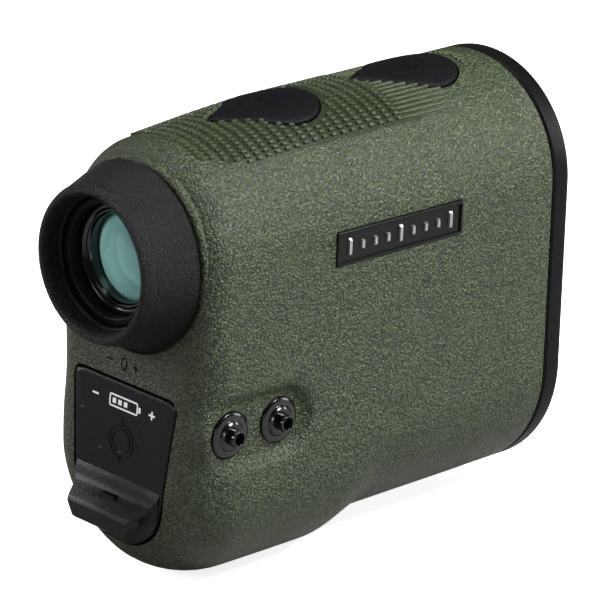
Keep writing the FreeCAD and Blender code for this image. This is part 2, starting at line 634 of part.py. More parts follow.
def make_door():
    """The hinged battery door with its pull lip, seal, spring contact and latch tongue."""
    low = "Sizes.battery_height"
    inner = hull("DoorInner", "-(Sizes.skin_thick - 0.3)")
    plate = cut("DoorPlate", common("DoorForm", door_prism("DoorOutline", "-Sizes.door_gap"),
                                    hull("DoorFace", "0")), inner)
    above = box("DoorAbove", ("-20", "-46", "Sizes.hinge_z"), ("20", "-30", "40"))
    roll = cylinder("DoorRoll", "Sizes.hinge_radius", "24.8",
                    ("-12.4", "Sizes.hinge_y", "Sizes.hinge_z"), "X")
    ramp = prism("LipRamp", [("-39.6", "19.4"), ("-40.15", "19.4"), ("-43.5", "15.4"),
                             ("-43.8", "14.8"), ("-43.8", "12.7"), ("-43.2", "12.2"),
                             ("-39.6", "12.2")], "-11", "11")
    plan = prism("LipPlan", [("-10.4", "-39"), ("-10.4", "-40.3"), ("-8", "-43.9"),
                             ("8", "-43.9"), ("10.4", "-40.3"), ("10.4", "-39")], "5", "25", "XY_Plane")
    within = common("LipForm", common("LipBlock", ramp, plan),
                    door_prism("LipOutline", "-Sizes.door_gap"))
    lip = cut("DoorLip", within, hull("LipInner", "-0.8"))
    bore = cylinder("DoorBore", "Sizes.pin_radius + Sizes.running_gap", "32",
                    ("-16", "Sizes.hinge_y", "Sizes.hinge_z"), "X")
    whole = fuse("DoorWhole", cut("DoorTrimmed", plate, above), roll, lip)
    piece(cut("BatteryDoor", whole, bore), "battery_door")

    ring = cut("SealRing", cylinder("SealRim", "9.7", "3", ("0", "-40.35", low)),
               cylinder("SealBore", "8.6", "4", ("0", "-41", low)))
    piece(common("DoorSeal", ring, inner), "door_seal")
    tongue = box("Tongue", ("-3", "-41", "8.7"), ("3", "-38.1", "10.8"))
    piece(common("DoorLatch", tongue, inner), "door_latch_tongue")
    piece(contact_spring(), "door_contact_spring")
    pin = cylinder("HingePin", "Sizes.pin_radius", "29.6",
                   ("-14.8", "Sizes.hinge_y", "Sizes.hinge_z"), "X")
    piece(pin, "door_hinge_pin")


def contact_spring():
    """A conical contact spring between the door and the cell, its turns pressed together."""
    tip = "Sizes.battery_front - Sizes.battery_length - Sizes.spring_wire * 2"
    turns = []
    for index in range(SPRING_TURNS):
        ring = "Sizes.spring_radius - %d * Sizes.spring_taper" % index
        along = "%s - %d * Sizes.spring_pitch" % (tip, SPRING_TURNS - 1 - index)
        turns.append(torus("SpringTurn%d" % index, ring, "Sizes.spring_wire",
                           ("0", along, "Sizes.battery_height")))
    return fuse("ContactSpring", *turns)


def make_battery():
    """The sealed tube, the cell in it and the contact at its far end."""
    inner = "Sizes.battery_radius + Sizes.tube_clearance"
    outer = inner + " + Sizes.tube_wall"
    end = "Sizes.battery_front"
    low = "Sizes.battery_height"
    tube = turned("BatteryTube", [
        ("-37", inner), ("-37", "10.2"), ("-35.6", "10.2"), ("-35.6", outer),
        (end + " + 1.6", outer), (end + " + 1.6", "0.01"), (end + " + 0.6", "0.01"),
        (end + " + 0.6", inner)])
    piece(bind(tube, Z=low), "battery_tube")
    cell = cylinder("Cell", "Sizes.battery_radius", "Sizes.battery_length - 0.9",
                    ("0", end + " - Sizes.battery_length", low))
    nub = cylinder("CellNub", "3", "0.9", ("0", end + " - 0.9", low))
    piece(fuse("Battery", cell, nub), "battery")
    piece(cylinder("FrontContact", "3.6", "0.6", ("0", end, low)), "battery_front_contact")


# ---- Front optics and electronics --------------------------------------------------------

SCREW_PLACES = [("%d" % x, "%d" % y) for x in (-14, 14) for y in (-16, 36)]


def make_channel(name, label, radius, height, rear, front, curve):
    """One front lens in its cell, with a threaded ring and a flat seal."""
    outer = radius + " + Sizes.cell_wall"
    tube = cylinder(name + "Tube", outer, "%s - 0.2 - (%s)" % (front, rear), ("0", rear, height))
    bore = cylinder(name + "Bore", radius, "30", ("0", "%s - 1" % rear, height))
    piece(cut(name + "Cell", tube, bore), label + "_cell")
    make_lens(name + "Lens", label + "_lens", radius, "%s - 4.6" % front, "%s - 0.9" % front,
              curve, height, 1)
    rim = cylinder(name + "RingRim", radius, "1.6", ("0", "%s - 2.2" % front, height))
    hole = cylinder(name + "RingHole", radius + " - 0.6", "3", ("0", "%s - 3" % front, height))
    piece(cut(name + "Ring", rim, hole), label + "_ring")
    pad = cylinder(name + "SealRim", outer, "0.2", ("0", "%s - 0.2" % front, height))
    core = cylinder(name + "SealCore", radius + " + 0.6", "1", ("0", "%s - 0.6" % front, height))
    piece(cut(name + "Seal", pad, core), label + "_seal")


def make_optics():
    """The chassis with the prism pair, the display and both front lenses."""
    make_channel("Objective", "objective", "Sizes.objective_radius", EYE, "28", "44.1", "40")
    make_channel("Receiver", "receiver", "Sizes.receiver_radius", "Sizes.receiver_height",
                 "26", "43.5", "25")
    tray = box("Tray", ("-15.4", "-20", "42"), ("15.4", "39", "44"))
    saddle = box("Saddle", ("-13", "30", "43"), ("13", "34", "58"))
    seat = cylinder("SaddleSeat", "Sizes.objective_radius + Sizes.cell_wall", "40", ("0", "10", EYE))
    holes = [cylinder("TrayHole%d" % index, "1", "5", (x, y, "40"), "Z")
             for index, (x, y) in enumerate(SCREW_PLACES)]
    piece(cut("Chassis", fuse("ChassisForm", tray, saddle), seat, *holes), "optical_chassis")
    screws = []
    for index, (x, y) in enumerate(SCREW_PLACES):
        shank = cylinder("ScrewShank%d" % index, "1", "3.8", (x, y, "40.2"), "Z")
        head = cylinder("ScrewHead%d" % index, "1.7", "1.2", (x, y, "44"), "Z")
        slot = box("ScrewSlot%d" % index, (x + " - 2", y + " - 0.25", "44.7"),
                   (x + " + 2", y + " + 0.25", "46"))
        screws.append(cut("Screw%d" % index, fuse("ScrewForm%d" % index, shank, head), slot))
    piece(group("ChassisScrews", *screws), "chassis_screws")
    channel = box("Channel", ("-11.5", "-15", "44"), ("11.5", "15", "68"))
    room = box("ChannelRoom", ("-10", "-16", "45.5"), ("10", "16", "70"))
    piece(cut("PrismHolder", channel, room), "prism_holder")
    ahead = [("0.2", "45.5"), ("14.4", "45.5"), ("14.4", "68"), ("8", "68")]
    behind = [("-14.4", "45.5"), ("-0.2", "45.5"), ("7.4", "68"), ("-10", "68"), ("-14.4", "62")]
    piece(prism("PrismFront", ahead, "-9.8", "9.8"), "prism_front")
    piece(prism("PrismRear", behind, "-9.8", "9.8"), "prism_rear")
    plate = box("DisplayPlate", ("-8", "-18.6", "44"), ("8", "-17.2", "69"))
    window = cylinder("DisplayWindow", "5.5", "4", ("0", "-20", EYE))
    piece(cut("DisplayModule", plate, window), "display_module")


def make_electronics():
    """The main board and its chips, the laser diode and the detector."""
    board = box("MainBoard", ("-14.6", "-26", "16"), ("-13.4", "34", "38.5"))
    piece(board, "main_board")
    chips = []
    for index, (y, z, wide, tall) in enumerate(((-18, 24, 8, 8), (-4, 30, 5, 5), (6, 24, 10, 7),
                                                (22, 30, 6, 4), (24, 20, 4, 4))):
        low = ("-13.4", str(y), str(z))
        high = ("-12.2", str(y + wide), str(z + tall))
        chips.append(box("Chip%d" % index, low, high))
    piece(group("BoardChips", *chips), "board_chips")
    piece(cylinder("LaserDiode", "2.8", "3.6", ("11.5", "7", "58"), "X"), "laser_diode")
    plate = box("DetectorPlate", ("-7", "7.8", "20"), ("7", "9", "34"))
    piece(plate, "detector_board")
    piece(cylinder("Photodiode", "4.1", "3.5", ("0", "9", "Sizes.receiver_height")), "photodiode")


def check_and_export():
    """Refuse any failed object or bad shape, then write one STEP file for each piece."""
    doc.recompute()
    failed = [item.Name for item in doc.Objects
              if "Invalid" in item.State or "Error" in item.State]
    for item in subparts:
        shape = item.Shape
        if shape.isNull() or not shape.isValid() or not shape.Solids or shape.Volume <= 0:
            failed.append(item.Label)
    if failed:
        raise RuntimeError("failed objects: " + ", ".join(failed))
    os.makedirs("parts", exist_ok=True)
    for item in subparts:
        item.Shape.exportStep("parts/%s.step" % item.Label)
        print("%-24s %3d solid(s) %10.1f mm3" % (item.Label, len(item.Shape.Solids), item.Shape.Volume))
    print(len(subparts), "sub-parts")


plates = make_badges()
post_holes, post_recess = make_posts()
make_shell(plates, post_holes, post_recess)
make_front()
make_buttons()
make_eyepiece()
make_door()
make_battery()
make_optics()
make_electronics()
check_and_export()
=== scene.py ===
"""Laser rangefinder: its looks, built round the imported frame.

Sizes in the classes are millimetres in the frame's axes (X right, Y forward,
Z up). Meshes are made in metres.
"""
import logging
import math
from collections.abc import Callable, Iterable, Sequence
from dataclasses import dataclass, field
from enum import Enum
from typing import ClassVar

import bmesh
import bpy
from mathutils import Matrix, Vector


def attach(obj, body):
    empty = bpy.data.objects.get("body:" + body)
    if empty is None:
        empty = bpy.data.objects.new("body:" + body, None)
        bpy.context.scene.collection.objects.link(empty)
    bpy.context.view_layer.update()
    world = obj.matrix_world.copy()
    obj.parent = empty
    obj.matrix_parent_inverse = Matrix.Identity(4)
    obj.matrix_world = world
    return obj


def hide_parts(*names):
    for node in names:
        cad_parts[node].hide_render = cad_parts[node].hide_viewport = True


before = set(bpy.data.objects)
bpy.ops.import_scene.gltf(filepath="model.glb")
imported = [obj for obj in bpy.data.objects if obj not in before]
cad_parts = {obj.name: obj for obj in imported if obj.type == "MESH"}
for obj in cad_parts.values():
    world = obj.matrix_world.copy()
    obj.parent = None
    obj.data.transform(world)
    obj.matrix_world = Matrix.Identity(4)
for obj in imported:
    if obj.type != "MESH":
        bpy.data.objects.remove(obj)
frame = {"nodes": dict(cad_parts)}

LOG = logging.getLogger("rangefinder")
MM = 0.001
Point = tuple[float, float, float]
Flat = tuple[float, float]

BUTTON_ENDS = (0.95, 34.9)
BUTTON_ROUND, BUTTON_TAIL, BUTTON_LENGTH = 8.3, 0.6, 22.4
POST_PLACES, POST_HEIGHT = (-32.3, -21.1), 31.0
EYE_HEIGHT, TAKE_HEIGHT = 58.9, 27.0
GLASS_DEPTH = 3.7


# ---- Small tools ------------------------------------------------------------------

def smooth(low: float, high: float, value: float) -> float:
    """Return 0 below low, 1 above high and an easy curve between."""
    part = min(1.0, max(0.0, (value - low) / (high - low)))
    return part * part * (3.0 - 2.0 * part)


def blend(low: float, high: float, part: float) -> float:
    """Return the value a share of the way from low to high."""
    return low + (high - low) * part


def rounded(corners: Sequence[tuple[float, float, float]], closed: bool = True,
            steps: int = 5) -> list[Flat]:
    """Round the corners of a flat outline.

    Args:
        corners: Each corner's two coordinates and its rounding radius.
        closed: Whether the outline joins up with its start.
        steps: Faces along each rounded corner.

    Returns:
        The outline's points.
    """
    points: list[Flat] = []
    count = len(corners)
    for index, (a, b, radius) in enumerate(corners):
        here = Vector((a, b))
        if radius <= 0.0 or (not closed and index in (0, count - 1)):
            points.append((a, b))
            continue
        back = Vector(corners[index - 1][:2]) - here
        onward = Vector(corners[(index + 1) % count][:2]) - here
        u, v = back.normalized(), onward.normalized()
        half = math.acos(max(-1.0, min(1.0, u.dot(v)))) / 2.0
        if half > 1.55:
            points.append((a, b))
            continue
        reach = min(radius / math.tan(half), 0.49 * back.length, 0.49 * onward.length)
        centre = here + (u + v).normalized() * (reach / math.cos(half))
        first, last = here + u * reach - centre, here + v * reach - centre
        start = math.atan2(first.y, first.x)
        sweep = math.atan2(last.y, last.x) - start
        sweep = (sweep + math.pi) % (2.0 * math.pi) - math.pi
        for step in range(steps + 1):
            angle = start + sweep * step / steps
            points.append((centre.x + first.length * math.cos(angle),
                           centre.y + first.length * math.sin(angle)))
    return points


def make_piece(name: str, points: Iterable[Sequence[float]], faces: Iterable[Sequence[int]],
               sharp: float = 40.0) -> bpy.types.Object:
    """Make a mesh object from points in millimetres, its faces turned outwards.

    Args:
        name: The object's name.
        points: The corner points.
        faces: Indices of each face's corners.
        sharp: Angle in degrees above which an edge stays crisp.

    Returns:
        The new object, at the origin.
    """
    mesh = bpy.data.meshes.new(name)
    mesh.from_pydata([tuple(c * MM for c in p) for p in points], [], [tuple(f) for f in faces])
    work = bmesh.new()
    work.from_mesh(mesh)
    bmesh.ops.recalc_face_normals(work, faces=work.faces)
    work.to_mesh(mesh)
    work.free()
    piece = bpy.data.objects.new(name, mesh)
    bpy.context.scene.collection.objects.link(piece)
    shade(piece, sharp)
    return piece


def shade(piece: bpy.types.Object, sharp: float = 40.0) -> None:
    """Shade a piece smooth, with crisp edges where faces meet above an angle."""
    mesh = piece.data
    mesh.polygons.foreach_set("use_smooth", [True] * len(mesh.polygons))
    mesh.set_sharp_from_angle(angle=math.radians(sharp))


def baked(piece: bpy.types.Object, sharp: float = 40.0) -> bpy.types.Object:
    """Make a piece's modifiers part of its mesh and remove them.

    Args:
        piece: The piece to change.
        sharp: Edges turned further than this many degrees stay sharp.

    Returns:
        The same piece.
    """
    bpy.context.view_layer.update()
    graph = bpy.context.evaluated_depsgraph_get()
    mesh = bpy.data.meshes.new_from_object(piece.evaluated_get(graph))
    piece.modifiers.clear()
    piece.data = mesh
    mesh.name = piece.name
    shade(piece, sharp)
    return piece


class Mix(Enum):
    """The ways in which two solids are combined."""

    JOIN = "UNION"
    CUT = "DIFFERENCE"
    SHARE = "INTERSECT"


def combine(piece: bpy.types.Object, mix: Mix, *tools: bpy.types.Object,
            sharp: float = 40.0) -> bpy.types.Object:
    """Combine a piece with tools, which are used up.

    Args:
        piece: The solid that is kept.
        mix: How each tool acts on it.
        tools: Closed solids.
        sharp: Angle above which an edge stays crisp.

    Returns:
        The piece.
    """
    for tool in tools:
        step = piece.modifiers.new("Mix", "BOOLEAN")
        step.operation = mix.value
        step.solver = "MANIFOLD"
        step.object = tool
    baked(piece, sharp)
    for tool in tools:
        bpy.data.objects.remove(tool)
    return piece


def bevelled(piece: bpy.types.Object, width: float, steps: int = 2,
             angle: float = 40.0) -> bpy.types.Object:
    """Round a piece's edges by a width in millimetres.

    Args:
        piece: The piece to change.
        width: The rounding in millimetres.
        steps: The number of cuts across it.
        angle: The least angle of an edge that is rounded, in degrees.

    Returns:
        The same piece.
    """
    step = piece.modifiers.new("Round", "BEVEL")
    step.width = width * MM
    step.segments = steps
    step.limit_method = "ANGLE"
    step.angle_limit = math.radians(angle)
    step.harden_normals = False
    return baked(piece)


def joined(name: str, pieces: Sequence[bpy.types.Object]) -> bpy.types.Object:
    """Put several separate solids into one object.

    Args:
        name: The name of the new object.
        pieces: The solids.

    Returns:
        The object.
    """
    work = bmesh.new()
    for piece in pieces:
        work.from_mesh(piece.data)
    mesh = bpy.data.meshes.new(name)
    work.to_mesh(mesh)
    work.free()
    for piece in pieces:
        bpy.data.objects.remove(piece)
    whole = bpy.data.objects.new(name, mesh)
    bpy.context.scene.collection.objects.link(whole)
    shade(whole)
    return whole


def stacked(rings: Sequence[Sequence[Sequence[float]]]) -> tuple[list, list]:
    """Skin rings of equal count, closing both ends; a ring of one point is a pole.

    Args:
        rings: Loops of points in order; the first and last are capped.

    Returns:
        The points and the faces.
    """
    points: list[Sequence[float]] = []
    starts: list[tuple[int, int]] = []
    for ring in rings:
        starts.append((len(points), len(ring)))
        points.extend(ring)
    faces: list[Sequence[int]] = []
    for (a, many_a), (b, many_b) in zip(starts, starts[1:]):
        count = max(many_a, many_b)
        for index in range(count):
            after = (index + 1) % count
            if many_a == 1:
                faces.append((a, b + index, b + after))
            elif many_b == 1:
                faces.append((a + index, a + after, b))
            else:
                faces.append((a + index, a + after, b + after, b + index))
    for start, many in (starts[0], starts[-1]):
        if many > 1:
            faces.append(tuple(range(start, start + many)))
    return points, faces


def lathe(name: str, outline: Sequence[Flat], centre: Point, axis: str = "Y",
          around: int = 128, sharp: float = 35.0) -> bpy.types.Object:
    """Turn an outline about an axis into a closed solid.

    Args:
        name: The object's name.
        outline: Pairs of place along the axis and radius. It is a closed loop,
            or a line from the axis to the axis.
        centre: A point on the axis.
        axis: "X", "Y" or "Z".
        around: Faces round the axis.
        sharp: Angle above which an edge stays crisp.

    Returns:
        The solid.
    """
    rings: list[list[Point]] = []
    for along, radius in outline:
        ring = []
        for index in range(around if radius > 1e-6 else 1):
            angle = 2.0 * math.pi * index / around
            u, v = radius * math.cos(angle), radius * math.sin(angle)
            place = {"X": (along, u, v), "Y": (u, along, v), "Z": (u, v, along)}[axis]
            ring.append(tuple(c + p for c, p in zip(centre, place)))
        rings.append(ring)
    if len(rings[0]) == 1:
        points, faces = stacked(rings)
    else:
        points, faces = stacked(rings + [rings[0]])
        faces = faces[:-2]
        count = len(rings) * around
        points = points[:count]
        faces = [tuple(i % count for i in face) for face in faces]
    return make_piece(name, points, faces, sharp)


def prism(name: str, outline: Sequence[Flat], low: float, high: float, axis: str,
          sharp: float = 35.0) -> bpy.types.Object:
    """Extrude an outline along an axis.

    Args:
        name: The object's name.
        outline: A closed outline; its pairs are the other two coordinates in order.
        low: Where it starts along the axis.
        high: Where it ends.
        axis: "X", "Y" or "Z".
        sharp: Angle above which an edge stays crisp.

    Returns:
        The solid.
    """
    def place(u: float, v: float, w: float) -> Point:
        """Return a point from the outline's pair and the place along the axis."""
        return {"X": (w, u, v), "Y": (u, w, v), "Z": (u, v, w)}[axis]

    rings = [[place(u, v, w) for u, v in outline] for w in (low, high)]
    return make_piece(name, *stacked(rings), sharp)


def relief(name: str, lines: Sequence[tuple[Sequence[Flat], float, bool]],
           surface: Callable[[float, float, float], Point], height: float,
           root: float = 0.25, slope: float = 0.12) -> bpy.types.Object:
    """Raise flat strokes from a curved surface.

    Args:
        name: The object's name.
        lines: Each stroke's points on the surface, its width and whether it is a ring.
        surface: Gives the place of a point on the surface at a lift above it.
        height: How far the strokes stand up.
        root: How far they reach below the surface.
        slope: How much narrower a stroke's top is than its foot, on each side.

    Returns:
        One object with a closed solid for each stroke.
    """
    points: list[Point] = []
    faces: list[Sequence[int]] = []
    for track, width, ring in lines:
        count = len(track)
        start = len(points)
        for index, (u, v) in enumerate(track):
            back = track[index - 1] if ring or index else track[0]
            onward = track[(index + 1) % count] if ring or index < count - 1 else track[-1]
            way = Vector((onward[0] - back[0], onward[1] - back[1])).normalized()
            for side, lift, narrow in ((-1, -root, 0.0), (-1, height, slope),
                                       (1, height, slope), (1, -root, 0.0)):
                reach = side * (width / 2.0 - narrow)
                points.append(surface(u - way.y * reach, v + way.x * reach, lift))
        for index in range(count if ring else count - 1):
            a, b = start + 4 * index, start + 4 * ((index + 1) % count)
            for k in range(4):
                faces.append((a + k, a + (k + 1) % 4, b + (k + 1) % 4, b + k))
        if not ring:
            last = start + 4 * (count - 1)
            faces.append((start, start + 1, start + 2, start + 3))
            faces.append((last, last + 1, last + 2, last + 3))
    return make_piece(name, points, faces, 30.0)


def circle_track(u: float, v: float, radius: float, count: int = 40) -> list[Flat]:
    """Return points round a circle."""
    return [(u + radius * math.cos(2.0 * math.pi * i / count),
             v + radius * math.sin(2.0 * math.pi * i / count)) for i in range(count)]


def line_track(start: Flat, end: Flat, count: int = 6) -> list[Flat]:
    """Return evenly spaced points along a straight line."""
    return [(blend(start[0], end[0], i / (count - 1)), blend(start[1], end[1], i / (count - 1)))
            for i in range(count)]


# ---- Node trees ---------------------------------------------------------------------

class Tree:
    """A node tree with short calls for adding and linking nodes."""

    def __init__(self, nodes: bpy.types.NodeTree) -> None:
        """Keep the tree that nodes are added to."""
        self.tree = nodes

    def add(self, kind: str, wires: dict | None = None,
            **settings: object) -> bpy.types.Node:
        """Add a node.

        Args:
            kind: The node's type.
            wires: For each input, by name or number, an output to link or a value.
            settings: The node's own properties.

        Returns:
            The node.
        """
        node = self.tree.nodes.new(kind)
        for key, setting in settings.items():
            setattr(node, key, setting)
        return self.feed(node, wires or {})

    def feed(self, node: bpy.types.Node, wires: dict) -> bpy.types.Node:
        """Link or set a node's inputs.

        Args:
            node: The node.
            wires: For each input, by name or number, an output to link or a value.

        Returns:
            The node.
        """
        for key, source in wires.items():
            socket = node.inputs[key]
            if isinstance(source, bpy.types.NodeSocket):
                self.tree.links.new(source, socket)
            else:
                socket.default_value = source
        return node

    def math(self, operation: str, *values: object) -> bpy.types.NodeSocket:
        """Add a Math node and return its output."""
        return self.add("ShaderNodeMath", dict(enumerate(values)), operation=operation).outputs[0]

    def ramp(self, source: bpy.types.NodeSocket, *stops: Flat) -> bpy.types.NodeSocket:
        """Map a value through a ramp.

        Args:
            source: The value.
            stops: Pairs of place and grey level, in order.

        Returns:
            The ramp's output.
        """
        node = self.add("ShaderNodeValToRGB", {0: source})
        ramp = node.color_ramp
        while len(ramp.elements) < len(stops):
            ramp.elements.new(0.5)
        for element, (place, level) in zip(ramp.elements, stops):
            element.position = place
            element.color = (level, level, level, 1.0)
        return node.outputs["Color"]

    def mix(self, part: object, low: object, high: object) -> bpy.types.NodeSocket:
        """Mix two colours by a share and return the output."""
        return self.add("ShaderNodeMix", {0: part, 6: low, 7: high}, data_type="RGBA").outputs[2]

    def between(self, source: bpy.types.NodeSocket, low: float,
                high: float) -> bpy.types.NodeSocket:
        """Map 0 to 1 to a range and return the output."""
        return self.add("ShaderNodeMapRange", {0: source, 3: low, 4: high}).outputs[0]

    def step(self, source: bpy.types.NodeSocket, start: float, end: float) -> bpy.types.NodeSocket:
        """Return 0 to 1 as a place in metres goes from start to end in millimetres."""
        wires = {0: source, 1: start * MM, 2: end * MM}
        return self.add("ShaderNodeMapRange", wires).outputs[0]


Colour = tuple[float, float, float, float]


def colour(red: float, green: float, blue: float) -> Colour:
    """Return a linear colour from display values of 0 to 255."""
    def linear(level: float) -> float:
        """Return the linear share of one display value."""
        share = level / 255.0
        return share / 12.92 if share <= 0.04045 else ((share + 0.055) / 1.055) ** 2.4
    return linear(red), linear(green), linear(blue), 1.0


def group_tree(name: str, inputs: dict[str, tuple[str, object]],
               outputs: dict[str, str]) -> tuple[Tree, bpy.types.Node, bpy.types.Node]:
    """Start a shader node group.

    Args:
        name: The group's name.
        inputs: Each input's socket kind and first value.
        outputs: Each output's socket kind.

    Returns:
        The tree, its input node and its output node.
    """
    group = bpy.data.node_groups.new(name, "ShaderNodeTree")
    for label, (kind, first) in inputs.items():
        socket = group.interface.new_socket(label, in_out="INPUT", socket_type="NodeSocket" + kind)
        if first is not None:
            socket.default_value = first
    for label, kind in outputs.items():
        group.interface.new_socket(label, in_out="OUTPUT", socket_type="NodeSocket" + kind)
    tree = Tree(group)
    return tree, tree.add("NodeGroupInput"), tree.add("NodeGroupOutput")


class Effects:
    """The shader node groups that several finishes share."""

    def __init__(self) -> None:
        """Build each group once."""
        self.pebble = self._pebble()
        self.grain = self._grain()
        self.drift = self._drift()
        self.dust = self._dust()

    @staticmethod
    def _pebble() -> bpy.types.NodeTree:
        """Soft wrinkled pebbles, as on moulded rubber armour."""
        tree, start, end = group_tree(
            "PebbleTexture",
            {"Vector": ("Vector", None), "Pitch": ("Float", 1000.0), "Warp": ("Float", 0.5)},
            {"Height": "Float", "Tops": "Float"})
        vector, pitch = start.outputs["Vector"], start.outputs["Pitch"]
        wander = tree.add("ShaderNodeTexNoise", {"Vector": vector, "Scale": pitch, "Detail": 2.0})
        away = tree.add("ShaderNodeVectorMath", {0: wander.outputs["Color"], 1: (0.5, 0.5, 0.5)},
                        operation="SUBTRACT")
        reach = tree.math("DIVIDE", start.outputs["Warp"], pitch)
        bent = tree.add("ShaderNodeVectorMath", {0: away.outputs[0], "Scale": reach},
                        operation="SCALE")
        place = tree.add("ShaderNodeVectorMath", {0: vector, 1: bent.outputs[0]}, operation="ADD")
        cells = tree.add("ShaderNodeTexVoronoi", {"Vector": place.outputs[0], "Scale": pitch,
                                                  "Smoothness": 0.6},
                         feature="SMOOTH_F1")
        worms = tree.add("ShaderNodeTexNoise",
                         {"Vector": place.outputs[0], "Scale": tree.math("MULTIPLY", pitch, 1.5),
                          "Detail": 1.5, "Roughness": 0.55})
        domes = tree.ramp(cells.outputs["Distance"], (0.05, 1.0), (0.75, 0.0))
        waves = tree.ramp(worms.outputs["Fac"], (0.32, 0.0), (0.68, 1.0))
        height = tree.math("ADD", tree.math("MULTIPLY", domes, 0.55),
                           tree.math("MULTIPLY", waves, 0.45))
        tree.feed(end, {"Height": height, "Tops": tree.ramp(height, (0.38, 0.0), (0.62, 1.0))})
        return tree.tree

    @staticmethod
    def _grain() -> bpy.types.NodeTree:
        """Fine even speckle, as on spark-eroded mouldings and bead-blasted metal."""
        tree, start, end = group_tree(
            "FineGrain", {"Vector": ("Vector", None), "Pitch": ("Float", 3000.0)},
            {"Height": "Float", "Specks": "Float"})
        fine = tree.add("ShaderNodeTexNoise",
                        {"Vector": start.outputs["Vector"], "Scale": start.outputs["Pitch"],
                         "Detail": 3.0, "Roughness": 0.6})
        level = fine.outputs["Fac"]
        tree.feed(end, {"Height": tree.ramp(level, (0.3, 0.0), (0.7, 1.0)),
                        "Specks": tree.ramp(level, (0.52, 0.0), (0.72, 1.0))})
        return tree.tree

    @staticmethod
    def _drift() -> bpy.types.NodeTree:
        """A slow wander of a colour over a surface."""
        tree, start, end = group_tree(
            "ColourDrift",
            {"Vector": ("Vector", None), "Colour": ("Color", None), "Pitch": ("Float", 60.0),
             "Amount": ("Float", 0.1)}, {"Colour": "Color"})
        slow = tree.add("ShaderNodeTexNoise",
                        {"Vector": start.outputs["Vector"], "Scale": start.outputs["Pitch"],
                         "Detail": 3.0})
        swing = tree.math("SUBTRACT", slow.outputs["Fac"], 0.5)
        gain = tree.math("ADD", 1.0, tree.math("MULTIPLY", swing,
                                              tree.math("MULTIPLY", start.outputs["Amount"], 4.0)))
        shown = tree.add("ShaderNodeHueSaturation",
                         {"Color": start.outputs["Colour"], "Value": gain})
        tree.feed(end, {"Colour": shown.outputs["Color"]})
        return tree.tree

    @staticmethod
    def _dust() -> bpy.types.NodeTree:
        """A mask of faint handling marks and settled dust."""
        tree, start, end = group_tree(
            "Handling", {"Vector": ("Vector", None), "Pitch": ("Float", 120.0)},
            {"Mask": "Float"})
        wide = tree.add("ShaderNodeTexNoise",
                        {"Vector": start.outputs["Vector"], "Scale": start.outputs["Pitch"],
                         "Detail": 5.0, "Roughness": 0.65, "Distortion": 0.6})
        tree.feed(end, {"Mask": tree.ramp(wide.outputs["Fac"], (0.45, 0.0), (0.75, 1.0))})
        return tree.tree


class Finish:
    """What every finish shares: a material with its shader and coordinates."""

    name: str

    def start(self) -> tuple[Tree, bpy.types.Node, bpy.types.NodeSocket, bpy.types.Material]:
        """Make the material, its Principled shader and its Object coordinates."""
        material = bpy.data.materials.new(self.name)
        material.use_nodes = True
        tree = Tree(material.node_tree)
        shader = material.node_tree.nodes["Principled BSDF"]
        place = tree.add("ShaderNodeTexCoord").outputs["Object"]
        return tree, shader, place, material

    def build(self, effects: Effects) -> bpy.types.Material:
        """Return the finished material."""
        raise NotImplementedError


def use_group(tree: Tree, group: bpy.types.NodeTree, wires: dict) -> bpy.types.Node:
    """Place a node group in a tree."""
    return tree.add("ShaderNodeGroup", wires, node_tree=group)


@dataclass(frozen=True)
class GrainedRubber(Finish):
    """Pebbled or finely grained rubber, with a painted sheen: the tops of the grain take a lighter
    colour.
    """

    name: str
    tone: Colour
    # The lighter colour painted on the grain's tops as sheen.
    tops: Colour
    pitch: float
    depth: float
    pebbled: bool = True
    rough: float = 0.55
    shine: float = 0.5
    drift: float = 0.06
    calm: float = 0.0
    calm_front: Flat = (30.0, 16.0)
    calm_rear: Flat = (-31.0, -27.0)

    def build(self, effects: Effects) -> bpy.types.Material:
        """Return the finished material.

        Args:
            effects: The shared node groups.

        Returns:
            The material.
        """
        tree, shader, place, material = self.start()
        if self.pebbled:
            grain = use_group(tree, effects.pebble,
                              {"Vector": place, "Pitch": self.pitch, "Warp": 0.9})
            painted_sheen_mask = grain.outputs["Tops"]
        else:
            grain = use_group(tree, effects.grain, {"Vector": place, "Pitch": self.pitch})
            painted_sheen_mask = grain.outputs["Specks"]
        height = grain.outputs["Height"]
        if self.calm:
            part = tree.add("ShaderNodeSeparateXYZ", {0: place}).outputs
            above = tree.step(part["Z"], self.calm - 1.0, self.calm)
            behind = tree.step(part["Y"], *self.calm_front)
            ahead = tree.step(part["Y"], *self.calm_rear)
            still = tree.math("MULTIPLY", tree.math("MULTIPLY", above, ahead), behind)
            keep = tree.math("SUBTRACT", 1.0, tree.math("MULTIPLY", still, 0.85))
            painted_sheen_mask = tree.math("MULTIPLY", painted_sheen_mask, keep)
            height = tree.math("MULTIPLY", height, keep)
        # Painted sheen: the grain's tops are coloured lighter than the rubber.
        toned = tree.mix(painted_sheen_mask, self.tone, self.tops)
        wander = use_group(tree, effects.drift,
                           {"Vector": place, "Colour": toned, "Pitch": 55.0, "Amount": self.drift})
        marks = use_group(tree, effects.dust, {"Vector": place})
        rough = tree.between(marks.outputs["Mask"], self.rough - 0.05, self.rough + 0.1)
        bump = tree.add("ShaderNodeBump", {"Height": height, "Distance": self.depth,
                                           "Strength": 1.0})
        tree.feed(shader, {"Base Color": wander.outputs["Colour"], "Roughness": rough,
                           "Normal": bump.outputs[0], "Specular IOR Level": self.shine})
        return material


